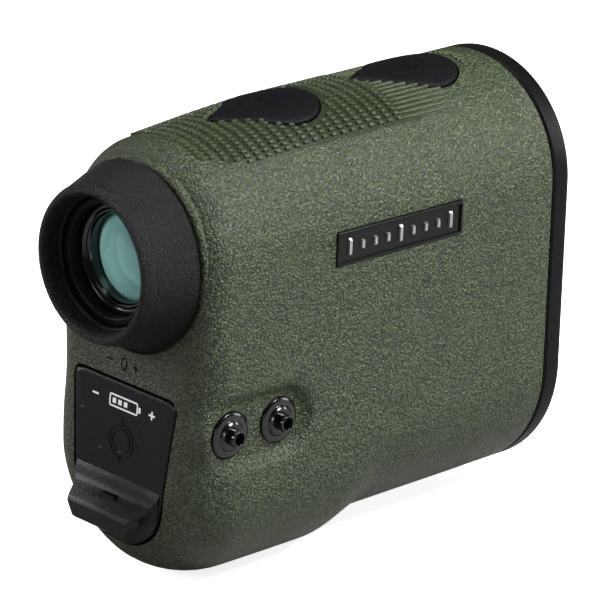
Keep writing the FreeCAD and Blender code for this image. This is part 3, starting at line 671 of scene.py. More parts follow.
@dataclass(frozen=True)
class Moulding(Finish):
    """Moulded or painted black parts, from satin to gloss, with faint handling marks."""

    name: str
    tone: Colour
    rough: float = 0.35
    grain: float = 4000.0
    depth: float = 0.00001
    spread: float = 0.12
    coat: float = 0.0
    shine: float = 0.5
    drops: bool = False

    def build(self, effects: Effects) -> bpy.types.Material:
        """Return the finished material.

        Args:
            effects: The shared node groups.

        Returns:
            The material.
        """
        tree, shader, place, material = self.start()
        grain = use_group(tree, effects.grain, {"Vector": place, "Pitch": self.grain})
        lighter = tuple(min(1.0, c * 1.5 + 0.004) for c in self.tone[:3]) + (1.0,)
        toned = tree.mix(grain.outputs["Specks"], self.tone, lighter)
        wander = use_group(tree, effects.drift,
                           {"Vector": place, "Colour": toned, "Pitch": 90.0, "Amount": 0.06})
        marks = use_group(tree, effects.dust, {"Vector": place, "Pitch": 160.0})
        rough = tree.between(marks.outputs["Mask"], self.rough, self.rough + self.spread)
        bump = tree.add("ShaderNodeBump", {"Height": grain.outputs["Height"],
                                           "Distance": self.depth, "Strength": 0.8})
        normal = bump.outputs[0]
        if self.drops:
            beads = tree.add("ShaderNodeTexVoronoi", {"Vector": place, "Scale": 210.0},
                             feature="F1")
            chosen = tree.ramp(tree.add("ShaderNodeSeparateColor",
                                        {0: beads.outputs["Color"]}).outputs[0],
                               (0.62, 0.0), (0.66, 1.0))
            dome = tree.ramp(beads.outputs["Distance"], (0.0, 1.0), (0.11, 0.75), (0.15, 0.0))
            second = tree.add("ShaderNodeBump",
                              {"Height": tree.math("MULTIPLY", chosen, dome), "Distance": 0.00018,
                               "Strength": 0.9, "Normal": normal})
            normal = second.outputs[0]
        tree.feed(shader, {"Base Color": wander.outputs["Colour"], "Roughness": rough,
                           "Normal": normal, "Coat Weight": self.coat, "Coat Roughness": 0.12,
                           "Specular IOR Level": self.shine})
        return material


@dataclass(frozen=True)
class Metal(Finish):
    """Bare, plated or anodised metal with fine machining or blasting."""

    name: str
    tone: Colour
    rough: float = 0.3
    grain: float = 5000.0
    stretch: tuple[float, float, float] = (1.0, 1.0, 1.0)
    depth: float = 0.000006

    def build(self, effects: Effects) -> bpy.types.Material:
        """Return the finished material.

        Args:
            effects: The shared node groups.

        Returns:
            The material.
        """
        tree, shader, place, material = self.start()
        drawn = tree.add("ShaderNodeMapping", {"Vector": place, "Scale": self.stretch})
        grain = use_group(tree, effects.grain,
                          {"Vector": drawn.outputs[0], "Pitch": self.grain})
        wander = use_group(tree, effects.drift, {"Vector": place, "Colour": self.tone,
                                                 "Pitch": 150.0, "Amount": 0.08})
        rough = tree.between(grain.outputs["Height"], self.rough - 0.06, self.rough + 0.08)
        bump = tree.add("ShaderNodeBump", {"Height": grain.outputs["Height"],
                                           "Distance": self.depth, "Strength": 0.7})
        tree.feed(shader, {"Base Color": wander.outputs["Colour"], "Roughness": rough,
                           "Normal": bump.outputs[0], "Metallic": 1.0})
        return material


@dataclass(frozen=True)
class CoatedGlass(Finish):
    """A lens with an anti-reflection coating, its colour carrying painted light: a painted
    highlight on the side that faces the light, painted shade away from it and a painted dark rim.
    """

    name: str
    centre: tuple[float, float]
    radius: float
    bright: Colour
    # The painted shade colour, away from the light.
    deep: Colour
    # The painted shade at the rim.
    rim: Colour
    # Which way the painted light runs across the lens.
    lean: tuple[float, float] = (0.8, 0.3)
    clear: float = 0.0

    def build(self, effects: Effects) -> bpy.types.Material:
        """Return the finished material.

        Args:
            effects: The shared node groups.

        Returns:
            The material.
        """
        tree, shader, place, material = self.start()
        parts = tree.add("ShaderNodeSeparateXYZ", {0: place})
        across = tree.math("DIVIDE", tree.math("SUBTRACT", parts.outputs["X"],
                                              self.centre[0] * MM), self.radius * MM)
        up = tree.math("DIVIDE", tree.math("SUBTRACT", parts.outputs["Z"],
                                          self.centre[1] * MM), self.radius * MM)
        far = tree.math("SQRT", tree.math("ADD", tree.math("MULTIPLY", across, across),
                                          tree.math("MULTIPLY", up, up)))
        cloud = tree.add("ShaderNodeTexNoise", {"Vector": place, "Scale": 130.0, "Detail": 2.0,
                                                "Distortion": 1.2})
        # Painted light: the colour runs from the lit tone to the shaded tone across the lens, with
        # a soft cloud in it.
        tilt = tree.math("ADD", tree.math("MULTIPLY", across, self.lean[0]),
                         tree.math("MULTIPLY", up, self.lean[1]))
        soft = tree.math("ADD", tree.math("MULTIPLY", tilt, 0.5),
                         tree.math("MULTIPLY", cloud.outputs["Fac"], 0.35))
        painted_shade_share = tree.ramp(tree.math("ADD", soft, 0.33), (0.2, 0.0), (0.85, 1.0))
        body = tree.mix(painted_shade_share, self.bright, self.deep)
        # Painted shade darkens the rim.
        edge = tree.ramp(far, (0.86, 0.0), (0.97, 1.0))
        smear = use_group(tree, effects.dust, {"Vector": place, "Pitch": 300.0})
        tree.feed(shader, {"Base Color": tree.mix(edge, body, self.rim),
                           "Roughness": tree.between(smear.outputs["Mask"], 0.03, 0.09),
                           "IOR": 1.7, "Specular Tint": (0.55, 1.0, 0.93, 1.0),
                           "Coat Weight": 0.3, "Coat Roughness": 0.02,
                           "Transmission Weight": self.clear})
        return material


class Palette:
    """Every finish on the instrument, made once, by slot name."""

    def __init__(self) -> None:
        """Build the effects and the materials."""
        effects = Effects()
        kinds: dict[str, Finish] = {
            # For each rubber finish, the second colour is the painted sheen on the grain's tops.
            "armour": GrainedRubber("OliveArmour", colour(23, 30, 16), colour(62, 72, 46),
                                    2100.0, 0.0003, rough=0.38, shine=0.36, calm=75.6),
            "armour_blocks": GrainedRubber("OliveBlocks", colour(40, 47, 29), colour(60, 67, 46),
                                           2400.0, 0.00012, rough=0.45, shine=0.3),
            "cup_rubber": GrainedRubber("CupRubber", colour(12, 11, 13), colour(36, 34, 36),
                                        2700.0, 0.0002, pebbled=False, rough=0.36, shine=0.16),
            "button_rubber": GrainedRubber("ButtonRubber", colour(9, 8, 10), colour(19, 17, 21),
                                           2800.0, 0.00008, pebbled=False, rough=0.5, shine=0.07),
            "seal": GrainedRubber("SealRubber", colour(22, 22, 22), colour(34, 34, 34),
                                  3000.0, 0.00003, pebbled=False, rough=0.6),
            "housing": Moulding("HousingPlastic", colour(40, 40, 42), 0.5),
            "bezel": Moulding("BezelPlastic", colour(6, 6, 6), 0.34, 2600.0, 0.00003, shine=0.1),
            "badge": Moulding("BadgePlastic", colour(7, 7, 8), 0.3, 3000.0, 0.00001, shine=0.2),
            "door": Moulding("DoorPlastic", colour(10, 9, 11), 0.3, 2600.0, 0.00003, shine=0.2,
                             drops=True),
            "post_black": Moulding("PostPaint", colour(3, 3, 4), 0.14, 5000.0, 0.000003,
                                   0.05, coat=0.3, shine=0.35),
            "marks": Moulding("WhitePrint", colour(228, 228, 226), 0.5, 4000.0, 0.000004),
            "badge_marks": Metal("SatinSilver", colour(178, 178, 180), 0.33),
            "black_anodised": Metal("BlackAnodised", colour(20, 20, 22), 0.38),
            "battery_can": Metal("CellCan", colour(190, 192, 196), 0.24, 900.0, (1.0, 0.05, 1.0)),
            "contact_brass": Metal("ContactBrass", colour(214, 178, 108), 0.28),
            "spring_steel": Metal("SpringSteel", colour(176, 178, 182), 0.22),
            "chassis_alloy": Metal("ChassisAlloy", colour(150, 150, 156), 0.42, 2500.0),
            "can_metal": Metal("PlatedCan", colour(186, 178, 150), 0.28),
            "board": Moulding("SolderMask", colour(22, 92, 52), 0.32, 900.0, 0.00002, coat=0.4),
            "chip": Moulding("ChipEpoxy", colour(26, 26, 28), 0.45, 5000.0),
            "switch": Moulding("SwitchPlastic", colour(44, 44, 46), 0.4),
            # For each lens, the three colours are its painted highlight, painted shade and painted
            # dark rim.
            "eye_glass": CoatedGlass("EyeGlass", (0.0, EYE_HEIGHT), 8.3, colour(165, 226, 218),
                                     colour(6, 52, 56), colour(4, 18, 20)),
            "front_glass": CoatedGlass("FrontGlass", (0.0, EYE_HEIGHT), 12.0, colour(40, 84, 92),
                                       colour(24, 16, 44), colour(4, 6, 10), (-0.7, -0.4)),
            "take_glass": CoatedGlass("TakeGlass", (0.0, TAKE_HEIGHT), 9.0, colour(84, 30, 40),
                                      colour(30, 6, 26), colour(8, 4, 6), (-0.7, -0.4)),
            "prism_glass": CoatedGlass("PrismGlass", (0.0, EYE_HEIGHT), 12.0, colour(214, 232, 230),
                                       colour(168, 200, 200), colour(150, 180, 180), clear=0.6),
        }
        self.made = {slot: finish.build(effects) for slot, finish in kinds.items()}

    def dress(self, piece: bpy.types.Object, slot: str) -> None:
        """Give a piece one finish all over."""
        piece.data.materials.clear()
        piece.data.materials.append(self.made[slot])


# ---- The body's form ------------------------------------------------------------------

@dataclass(frozen=True)
class BodyForm:
    """The outer form: arched sections that lean, spread and step along the body."""

    rear: float = -37.5
    front: float = 47.2
    eye_height: float = EYE_HEIGHT
    front_zone: Flat = (5.0, 42.0)
    rear_zone: Point = (-32.0, -18.0, -7.0)
    top_radius: tuple[float, float] = (19.0, 20.9)
    low_radius: tuple[float, float] = (20.1, 22.0)
    crowns: tuple[float, float, float] = (78.2, 79.3, 80.0)
    rear_lean: float = 3.8
    front_lean: float = 1.1
    step_height: float = 3.2
    step_reach: float = 6.0
    step_middle: float = -1.0
    edge_high: float = 4.6
    edge_low: float = 8.4
    edge_heel: float = 15.0
    arc_count: int = 64
    side_count: int = 56
    pad_middle: Flat = (-26.7, 31.0)
    pad_reach: float = 5.6
    pad_half: float = 4.7
    pad_face: float = 18.55
    pad_soft: float = 2.6

    def share(self, along: float) -> float:
        """Return how far along the body a station lies."""
        return (along - self.rear) / (self.front - self.rear)

    def radii(self, along: float) -> Flat:
        """Return the top and low arch radii at a station."""
        part = self.share(along)
        return blend(*self.top_radius, part), blend(*self.low_radius, part)

    def crown(self, along: float) -> float:
        """Return the height of the crown at a station."""
        rear, middle, front = self.crowns
        if along < -18.0:
            return blend(rear, middle, min(1.0, max(0.0, (along + 32.0) / 14.0)))
        return blend(middle, front, min(1.0, (along + 18.0) / 11.0))

    def sole(self, along: float) -> float:
        """Return the height of the underside at a station."""
        low, high = self.step_middle - self.step_reach, self.step_middle + self.step_reach
        return self.step_height * smooth(low, high, along)

    def lean(self, along: float) -> float:
        """Return how far a station leans forward, in radians.

        Args:
            along: The place along the axis.

        Returns:
            The lean in radians.
        """
        start, end = self.front_zone
        if along > start:
            return math.radians(self.front_lean) * min(1.0, (along - start) / (end - start))
        third = self.rear_lean / 3.0
        start, middle, end = self.rear_zone
        if along < middle:
            part = min(1.0, max(0.0, (along - start) / (middle - start)))
            return math.radians(blend(self.rear_lean, third, part))
        return math.radians(blend(third, 0.0, min(1.0, (along - middle) / (end - middle))))

    def edge(self, height: float) -> float:
        """Return the rear edge's rounding radius at a height."""
        upper = blend(self.edge_high, self.edge_low, smooth(52.0, 30.0, height))
        return blend(upper, self.edge_heel, smooth(30.0, -4.0, height))

    def ring(self, along: float, inset: float = 0.0, turn: float | None = None) -> list[Point]:
        """Return the points round one section.

        Args:
            along: Where the section stands, or the rear wall's place with a turn.
            inset: How far it lies inside the form.
            turn: Angle in radians round the rear edge, 0 on the rear wall.

        Returns:
            The points, from the right side over the crown.
        """
        outline = self._outline(along)
        points: list[Point] = []
        for x, height, nx, nz in outline:
            here, inward = along, inset
            if turn is not None:
                radius = max(0.4, self.edge(height + self.eye_height) - inset)
                here = along + inset + radius * (1.0 - math.cos(turn))
                inward = inset + radius * (1.0 - math.sin(turn))
            u, v = x - nx * inward, height - nz * inward
            lean = self.lean(here)
            points.append((u, here + v * math.sin(lean), self.eye_height + v * math.cos(lean)))
        return points

    def _outline(self, along: float) -> list[tuple[float, float, float, float]]:
        """Return a section's points and normals, heights counted from the eyepiece axis.

        Args:
            along: The place along the axis.

        Returns:
            The points and their normals.
        """
        top, low = self.radii(along)
        high = self.crown(along) - top - self.eye_height
        deep = self.sole(along) + low - self.eye_height
        tip = math.asin((low - top) / (high - deep))
        outline = []

        def arc(centre: float, radius: float, start: float, end: float) -> None:
            """Add points along an arch."""
            for index in range(self.arc_count):
                angle = blend(start, end, index / self.arc_count)
                nx, nz = math.cos(angle), math.sin(angle)
                outline.append((radius * nx, centre + radius * nz, nx, nz))

        def side(start: float, r_start: float, end: float, r_end: float, angle: float) -> None:
            """Add points along a straight side between two arches."""
            nx, nz = math.cos(angle), math.sin(angle)
            for index in range(self.side_count):
                part = index / self.side_count
                radius = blend(r_start, r_end, part)
                outline.append((radius * nx, blend(start, end, part) + radius * nz, nx, nz))

        arc(high, top, tip, math.pi - tip)
        side(high, top, deep, low, math.pi - tip)
        arc(deep, low, math.pi - tip, 2.0 * math.pi + tip)
        side(deep, low, high, top, tip)
        return outline

    def pad(self, place: Point) -> Point:
        """Flatten the right side into a soft-edged pad round the clip posts.

        Args:
            place: The point to move.

        Returns:
            The moved point.
        """
        x, y, z = place
        if x < 8.0:
            return place
        across = max(0.0, abs(y - self.pad_middle[0]) - self.pad_reach)
        away = math.hypot(across, z - self.pad_middle[1])
        part = smooth(self.pad_half + self.pad_soft, self.pad_half, away)
        return blend(x, self.pad_face, part), y, z

    def rings(self, inset: float, first: float, last: float,
              dished: bool = False) -> list[list[Point]]:
        """Return the sections of the form with its rounded rear edge.

        Args:
            inset: How far inside the form they lie.
            first: The place of the rear wall before its inset.
            last: Where the last section stands.
            dished: Whether the clip posts' pad is pressed in.

        Returns:
            The sections from the rear wall forward.
        """
        found = []
        turns = 16
        for index in range(turns + 1):
            found.append(self.ring(first, inset, math.pi / 2.0 * index / turns))
        near, joint = found[-1], -14.0
        steps = 20
        goal = self.ring(joint, inset)
        for index in range(1, steps + 1):
            found.append([self._slide(a, b, index / steps) for a, b in zip(near, goal)])
        places = [-14.0 + 7.0 * i / 5 for i in range(1, 6)]
        places += [-7.0 + 12.0 * i / 16 for i in range(1, 17)]
        places += [5.0 + (last - 5.0) * i / 14 for i in range(1, 15)]
        found += [self.ring(place, inset) for place in places]
        if dished:
            found = [[self.pad(p) for p in ring] for ring in found]
        return found

    @staticmethod
    def _slide(a: Point, b: Point, part: float) -> Point:
        """Return a point on the way between two matching section points."""
        return tuple(blend(p, q, part) for p, q in zip(a, b))

    def solid(self, name: str, inset: float, last: float, dished: bool = False) -> bpy.types.Object:
        """Return the form as a closed solid.

        Args:
            name: The name of the new object.
            inset: How far inside the form it lies.
            last: Where it ends at the front.
            dished: Whether the pad round the clip posts is pressed in.

        Returns:
            The object.
        """
        rings = self.rings(inset, self.rear, last, dished)
        middle = [Vector(p) for p in rings[0]]
        centre = sum(middle, Vector()) / len(middle)
        collar = [tuple(blend(c, p, 0.94) for c, p in zip(centre, point)) for point in rings[0]]
        return make_piece(name, *stacked([collar] + rings), 30.0)

    def crown_point(self, angle: float, along: float, lift: float = 0.0) -> Point:
        """Return a point on the crown, by its angle from upright and its place along.

        Args:
            angle: The angle from upright.
            along: The place along the axis.
            lift: The height above the surface.

        Returns:
            The point.
        """
        radius = self.radii(along)[0]
        height = self.crown(along) - radius - self.eye_height
        reach = radius + lift
        v = height + reach * math.cos(angle)
        lean = self.lean(along)
        return (reach * math.sin(angle), along + v * math.sin(lean),
                self.eye_height + v * math.cos(lean))

    def crown_at(self, x: float, along: float, lift: float = 0.0) -> Point:
        """Return a point on the crown above a place in plan.

        Args:
            x: The place across.
            along: The place along the axis.
            lift: The height above the surface.

        Returns:
            The point.
        """
        radius = self.radii(along)[0]
        angle = math.asin(max(-0.98, min(0.98, x / radius)))
        height = self.crown(along) - radius
        return x + lift * math.sin(angle), along, height + (radius + lift) * math.cos(angle)

    def rear_at(self, x: float, z: float, lift: float = 0.0) -> Point:
        """Return a point on the rear face, rounded off towards the edge.

        Args:
            x: The place across.
            z: The height.
            lift: How far off the surface it is.

        Returns:
            The point.
        """
        top, low = self.radii(self.rear)
        height = z - self.eye_height
        high = self.crown(self.rear) - top - self.eye_height
        deep = low - self.eye_height
        if height >= high:
            depth = top - math.hypot(x, height - high)
        elif height <= deep:
            depth = low - math.hypot(x, height - deep)
        else:
            depth = blend(low, top, (height - deep) / (high - deep)) - abs(x)
        radius = self.edge(z)
        sunk = 0.0
        if depth < radius:
            share = min(1.0, max(0.0, 1.0 - depth / radius))
            sunk = radius * (1.0 - math.sqrt(1.0 - share * share))
        return x, self.rear + sunk + height * math.sin(self.lean(self.rear)) - lift, z


# ---- Sub-assemblies ---------------------------------------------------------------------

class SubAssembly:
    """One group of pieces: it builds, dresses and places them."""

    def __init__(self, palette: Palette, form: BodyForm) -> None:
        """Keep the finishes and the body's form."""
        self.palette = palette
        self.form = form

    def place(self, piece: bpy.types.Object, body: str, slot: str, *nodes: str,
              finish: str | None = None) -> bpy.types.Object:
        """Dress a piece and let it ride, standing for CAD nodes.

        Args:
            piece: The finished piece.
            body: The body that it moves with.
            slot: The record's material slot.
            nodes: The CAD nodes that it stands for.
            finish: The finish, if it isn't the slot's own.

        Returns:
            The piece.
        """
        self.palette.dress(piece, finish or slot)
        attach(piece, body)
        if nodes:
            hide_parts(*nodes)
        LOG.info("%s rides on %s, %d faces", piece.name, body, len(piece.data.polygons))
        return piece

    def build(self) -> None:
        """Make every piece of the group."""
        raise NotImplementedError


def teardrop(end: float, margin: float, scale: float = 1.0, count: int = 40,
             round_end: float = BUTTON_ROUND, tail: float = BUTTON_TAIL,
             length: float = BUTTON_LENGTH) -> list[Flat]:
    """Return a teardrop outline in plan, its round end forward.

    Args:
        end: Where its round end reaches.
        margin: How much larger than the button it is, or smaller if negative.
        scale: Size about the round end's centre.
        count: Points round each end.
        round_end: Radius of the round end.
        tail: Radius of the tail.
        length: Length over both ends.

    Returns:
        The outline's points.
    """
    front, back = end - round_end, end - length + tail
    big, small = round_end + margin, max(0.15, tail + margin)
    lean = math.asin((big - small) / (front - back))
    points = []
    for index in range(count + 1):
        angle = blend(-lean, math.pi + lean, index / count)
        points.append((big * math.cos(angle), front + big * math.sin(angle)))
    for index in range(count // 2 + 1):
        angle = blend(math.pi + lean, 2.0 * math.pi - lean, index / (count // 2))
        points.append((small * math.cos(angle), back + small * math.sin(angle)))
    return [(x * scale, front + (y - front) * scale) for x, y in points]


def spread(outline: Sequence[Flat], most: float,
           guide: Sequence[Flat] | None = None) -> list[Flat]:
    """Divide an outline's long runs, so that it can follow a curved surface.

    Args:
        outline: The closed outline.
        most: The longest run that is left whole.
        guide: A like outline whose runs decide the divisions.

    Returns:
        The divided outline.
    """
    points: list[Flat] = []
    guide = guide or outline
    for index, (u, v) in enumerate(outline):
        following = (index + 1) % len(outline)
        after = outline[following]
        parts = max(1, math.ceil(math.dist(guide[index], guide[following]) / most))
        points += [(blend(u, after[0], i / parts), blend(v, after[1], i / parts))
                   for i in range(parts)]
    return points


@dataclass(frozen=True)
class DoorPlan:
    """The battery door's outline on the rear face."""

    top: float = 36.6
    half_top: float = 13.1
    half_low: float = 11.1
    low: float = 18.4
    corner: float = 2.0

    def outline(self, margin: float, top: float | None = None) -> list[Flat]:
        """Return the outline grown by a margin, as x and z pairs.

        Args:
            margin: The margin in millimetres.
            top: A height to stop at, or None for its own.

        Returns:
            The pairs.
        """
        high = self.top + margin if top is None else top
        wide, radius = self.half_top + margin, self.half_low + margin
        lean = math.atan2(wide - radius, high - self.low)
        foot = []
        for index in range(49):
            angle = blend(math.pi + lean, 2.0 * math.pi - lean, index / 48)
            foot.append((radius * math.cos(angle), self.low + radius * math.sin(angle), 0.0))
        rim = foot + [(wide, high, self.corner), (-wide, high, self.corner)]
        return rounded(rim, steps=8)


@dataclass
class Armour(SubAssembly):
    """The rubber armour with its grip pattern, seat and dial marks."""

    palette: Palette
    form: BodyForm
    thick: float = 1.8
    front: float = 42.4
    seat: float = -37.4
    seat_radius: float = 16.9
    eye_hole: float = 14.2
    flange_hole: float = 4.25
    button_gap: float = 0.35
    pattern_pitch: float = 2.2
    pattern_turn: float = 3.05
    pattern_clear: float = 0.95
    door: DoorPlan = field(default_factory=DoorPlan)

    def build(self) -> None:
        """Make the armour and the pattern on its crown."""
        self._skin()
        self._blocks()
        self._ribs()

    def _skin(self) -> None:
        """Make the hollow skin with every opening."""
        form, eye = self.form, (0.0, 0.0, self.form.eye_height)
        skin = form.solid("armour_shell", 0.0, self.front, dished=True)
        boss = lathe("boss", rounded([(self.seat + 4.0, 0.0, 0), (self.seat, 0.0, 0),
                                      (self.seat, self.seat_radius, 0.9),
                                      (self.seat + 4.0, self.seat_radius, 0)], False), eye)
        face = lathe("face", [(self.seat - 9.0, 0.0), (self.seat - 9.0, self.seat_radius),
                              (self.seat - 0.01, self.seat_radius), (self.seat - 0.01, 0.0)], eye)
        inner = form.solid("inner", self.thick, self.front + 4.0)
        way = lathe("way", [(-46.0, 0.0), (-46.0, self.eye_hole), (-25.0, self.eye_hole),
                            (-25.0, 0.0)], eye)
        combine(skin, Mix.JOIN, boss)
        tools = [face, inner, way, prism("gate", self.door.outline(0.0), -46.0, -31.0, "Y")]
        for end in BUTTON_ENDS:
            tools.append(prism("cap_way", teardrop(end, self.button_gap), 66.0, 90.0, "Z"))
        for along in POST_PLACES:
            tools.append(lathe("post_way", [(14.0, 0.0), (14.0, self.flange_hole),
                                            (26.0, self.flange_hole), (26.0, 0.0)],
                               (0.0, along, POST_HEIGHT), "X", 64))
        tools += [Badges.recess(side) for side in (1, -1)]
        tools.append(self._dial())
        combine(skin, Mix.CUT, *tools, sharp=32.0)
        self.place(skin, "root", "armour", "armour_skin")

    def _dial(self) -> bpy.types.Object:
        """Return the minus, zero and plus marks below the eyepiece, as a cutting tool."""
        width, height = 0.36, 39.5
        zero = [(0.62 * math.cos(t), height + 1.12 * math.sin(t) * 0.95)
                for t in (2.0 * math.pi * i / 32 for i in range(32))]
        lines = [
            (line_track((-4.9, height), (-3.5, height)), width, False),
            ([(x - 0.6, z) for x, z in zero], width, True),
            (line_track((1.5, height), (2.9, height)), width, False),
        ]
        marks = relief("dial_marks", lines, self.form.rear_at, 0.5, 0.45, 0.0)
        upright = relief("dial_upright", [(line_track((2.2, height - 0.7), (2.2, height + 0.7)),
                                           width, False)], self.form.rear_at, 0.52, 0.45, 0.0)
        return combine(marks, Mix.JOIN, upright)

    def _free(self, x: float, along: float) -> bool:
        """Return whether a place on the crown is clear of the buttons."""
        for end in BUTTON_ENDS:
            front, back = end - BUTTON_ROUND, end - BUTTON_LENGTH + BUTTON_TAIL
            part = min(1.0, max(0.0, (front - along) / (front - back)))
            centre = blend(front, back, part)
            reach = blend(BUTTON_ROUND, BUTTON_TAIL, part) + self.pattern_clear
            if math.hypot(x, along - centre) < reach:
                return False
        return True

    def _blocks(self) -> None:
        """Stand small square blocks in rows over the crown."""
        pitch_round = math.radians(self.pattern_turn)
        points: list[Point] = []
        facing: list[Vector] = []
        for row in range(21):
            along = -32.4 + row * self.pattern_pitch
            reach = blend(26.0, 37.0, smooth(-33.0, -24.0, along))
            for column in range(-13, 14):
                angle = column * pitch_round
                if abs(math.degrees(angle)) > reach:
                    continue
                radius = self.form.radii(along)[0]
                if not self._free(radius * math.sin(angle), along):
                    continue
                points.append(self.form.crown_point(angle, along))
                facing.append(Vector((math.sin(angle), 0.0, math.cos(angle))))
        carrier = make_piece("crown_blocks", points, [])
        attribute = carrier.data.attributes.new("facing", "FLOAT_VECTOR", "POINT")
        attribute.data.foreach_set("vector", [c for v in facing for c in v])
        grown = BlockTree().apply(carrier, {"Length": 1.25 * MM, "Width": 0.78 * MM,
                                            "Height": 1.1 * MM, "Taper": 0.74, "Lift": -0.1 * MM,
                                            "Finish": self.palette.made["armour_blocks"]})
        self.place(grown, "root", "armour", finish="armour_blocks")

    def _ribs(self) -> None:
        """Run raised ribs forward from the blocks on each side of the front button."""
        pitch_round = math.radians(self.pattern_turn)
        points: list[Point] = []
        swell: list[float] = []
        edges: list[tuple[int, int]] = []
        for column in range(-12, 13):
            angle = column * pitch_round
            size = abs(math.degrees(angle))
            start, end = 12.5, 38.5 - 14.0 * smooth(4.0, 38.0, size)
            count = 40
            previous = None
            for index in range(count):
                along = blend(start, end, index / (count - 1))
                x = self.form.radii(along)[0] * math.sin(angle)
                if not self._free(x, along):
                    previous = None
                    continue
                points.append(self.form.crown_point(angle, along, 0.05))
                swell.append(min(1.0, 0.25 + 1.5 * min(index, count - 1 - index) / 6.0))
                if previous is not None:
                    edges.append((previous, len(points) - 1))
                previous = len(points) - 1
        mesh = bpy.data.meshes.new("crown_ribs")
        mesh.from_pydata([tuple(c * MM for c in p) for p in points], edges, [])
        carrier = bpy.data.objects.new("crown_ribs", mesh)
        bpy.context.scene.collection.objects.link(carrier)
        mesh.attributes.new("swell", "FLOAT", "POINT").data.foreach_set("value", swell)
        grown = RibTree().apply(carrier, {"Radius": 0.31 * MM, "Sides": 8,
                                          "Finish": self.palette.made["armour_blocks"]})
        self.place(grown, "root", "armour", finish="armour_blocks")


class GrowthTree:
    """A geometry node tree that turns a carrier mesh into repeated shapes."""

    name = "Growth"
    sockets: dict[str, str] = {}

    def __init__(self) -> None:
        """Build the tree and its named inputs."""
        group = bpy.data.node_groups.new(self.name, "GeometryNodeTree")
        group.interface.new_socket("Geometry", in_out="INPUT", socket_type="NodeSocketGeometry")
        for label, kind in self.sockets.items():
            group.interface.new_socket(label, in_out="INPUT", socket_type="NodeSocket" + kind)
        group.interface.new_socket("Geometry", in_out="OUTPUT", socket_type="NodeSocketGeometry")
        self.group = group
        tree = Tree(group)
        start, end = tree.add("NodeGroupInput"), tree.add("NodeGroupOutput")
        shape = self.wire(tree, start)
        real = tree.add("GeometryNodeRealizeInstances", {0: shape})
        dressed = tree.add("GeometryNodeSetMaterial",
                           {0: real.outputs[0], "Material": start.outputs["Finish"]})
        group.links.new(dressed.outputs[0], end.inputs[0])

    def wire(self, tree: Tree, start: bpy.types.Node) -> bpy.types.NodeSocket:
        """Add the nodes and return the socket with their shapes."""
        raise NotImplementedError

    def apply(self, carrier: bpy.types.Object, values: dict[str, object]) -> bpy.types.Object:
        """Grow the shapes on a carrier and make them a plain mesh.

        Args:
            carrier: The object whose points or edges carry the shapes.
            values: The value of each named input.

        Returns:
            The carrier, now holding the grown mesh.
        """
        step = carrier.modifiers.new(self.name, "NODES")
        step.node_group = self.group
        for item in self.group.interface.items_tree:
            if item.item_type == "SOCKET" and item.in_out == "INPUT" and item.name in values:
                step[item.identifier] = values[item.name]
        return baked(carrier, 30.0)


class BlockTree(GrowthTree):
    """Square blocks with smaller tops, one on each point, facing outwards."""

    name = "CrownBlocks"
    sockets = {"Length": "Float", "Width": "Float", "Height": "Float", "Taper": "Float",
               "Lift": "Float", "Finish": "Material"}

    def wire(self, tree: Tree, start: bpy.types.Node) -> bpy.types.NodeSocket:
        """Build one block and put it on every point.

        Args:
            tree: The tree to add to.
            start: The tree's input node.

        Returns:
            The socket.
        """
        size = tree.add("ShaderNodeCombineXYZ", {0: start.outputs["Width"],
                                                 1: start.outputs["Length"],
                                                 2: start.outputs["Height"]})
        cube = tree.add("GeometryNodeMeshCube", {"Size": size.outputs[0], "Vertices X": 2,
                                                 "Vertices Y": 2, "Vertices Z": 2})
        facing = tree.add("GeometryNodeInputNormal")
        normal = tree.add("ShaderNodeSeparateXYZ", {0: facing.outputs[0]})
        upper = tree.add("FunctionNodeCompare", {0: normal.outputs["Z"], 1: 0.5},
                         data_type="FLOAT", operation="GREATER_THAN")
        top = tree.add("GeometryNodeScaleElements",
                       {"Geometry": cube.outputs["Mesh"], "Selection": upper.outputs[0],
                        "Scale": start.outputs["Taper"]}, domain="FACE")
        lift = tree.add("ShaderNodeCombineXYZ", {2: start.outputs["Lift"]})
        raised = tree.add("GeometryNodeTransform", {"Geometry": top.outputs[0],
                                                    "Translation": lift.outputs[0]})
        facing = tree.add("GeometryNodeInputNamedAttribute", {"Name": "facing"},
                          data_type="FLOAT_VECTOR")
        turn = tree.add("FunctionNodeAlignRotationToVector",
                        {"Vector": facing.outputs["Attribute"]}, axis="Z", pivot_axis="Y")
        spots = tree.add("GeometryNodeInstanceOnPoints",
                         {"Points": start.outputs["Geometry"], "Instance": raised.outputs[0],
                          "Rotation": turn.outputs[0]})
        return spots.outputs[0]


class RibTree(GrowthTree):
    """Round ribs that follow the carrier's edges and thin out at their ends."""

    name = "CrownRibs"
    sockets = {"Radius": "Float", "Sides": "Int", "Finish": "Material"}

    def wire(self, tree: Tree, start: bpy.types.Node) -> bpy.types.NodeSocket:
        """Sweep a round profile along every edge run.

        Args:
            tree: The tree to add to.
            start: The tree's input node.

        Returns:
            The socket.
        """
        swell = tree.add("GeometryNodeInputNamedAttribute", {"Name": "swell"}, data_type="FLOAT")
        lines = tree.add("GeometryNodeMeshToCurve", {0: start.outputs["Geometry"]})
        sized = tree.add("GeometryNodeSetCurveRadius", {0: lines.outputs[0],
                                                        "Radius": swell.outputs["Attribute"]})
        profile = tree.add("GeometryNodeCurvePrimitiveCircle",
                           {"Resolution": start.outputs["Sides"],
                            "Radius": start.outputs["Radius"]})
        swept = tree.add("GeometryNodeCurveToMesh",
                         {"Curve": sized.outputs[0], "Profile Curve": profile.outputs[0],
                          "Scale": swell.outputs["Attribute"], "Fill Caps": True})
        return swept.outputs[0]


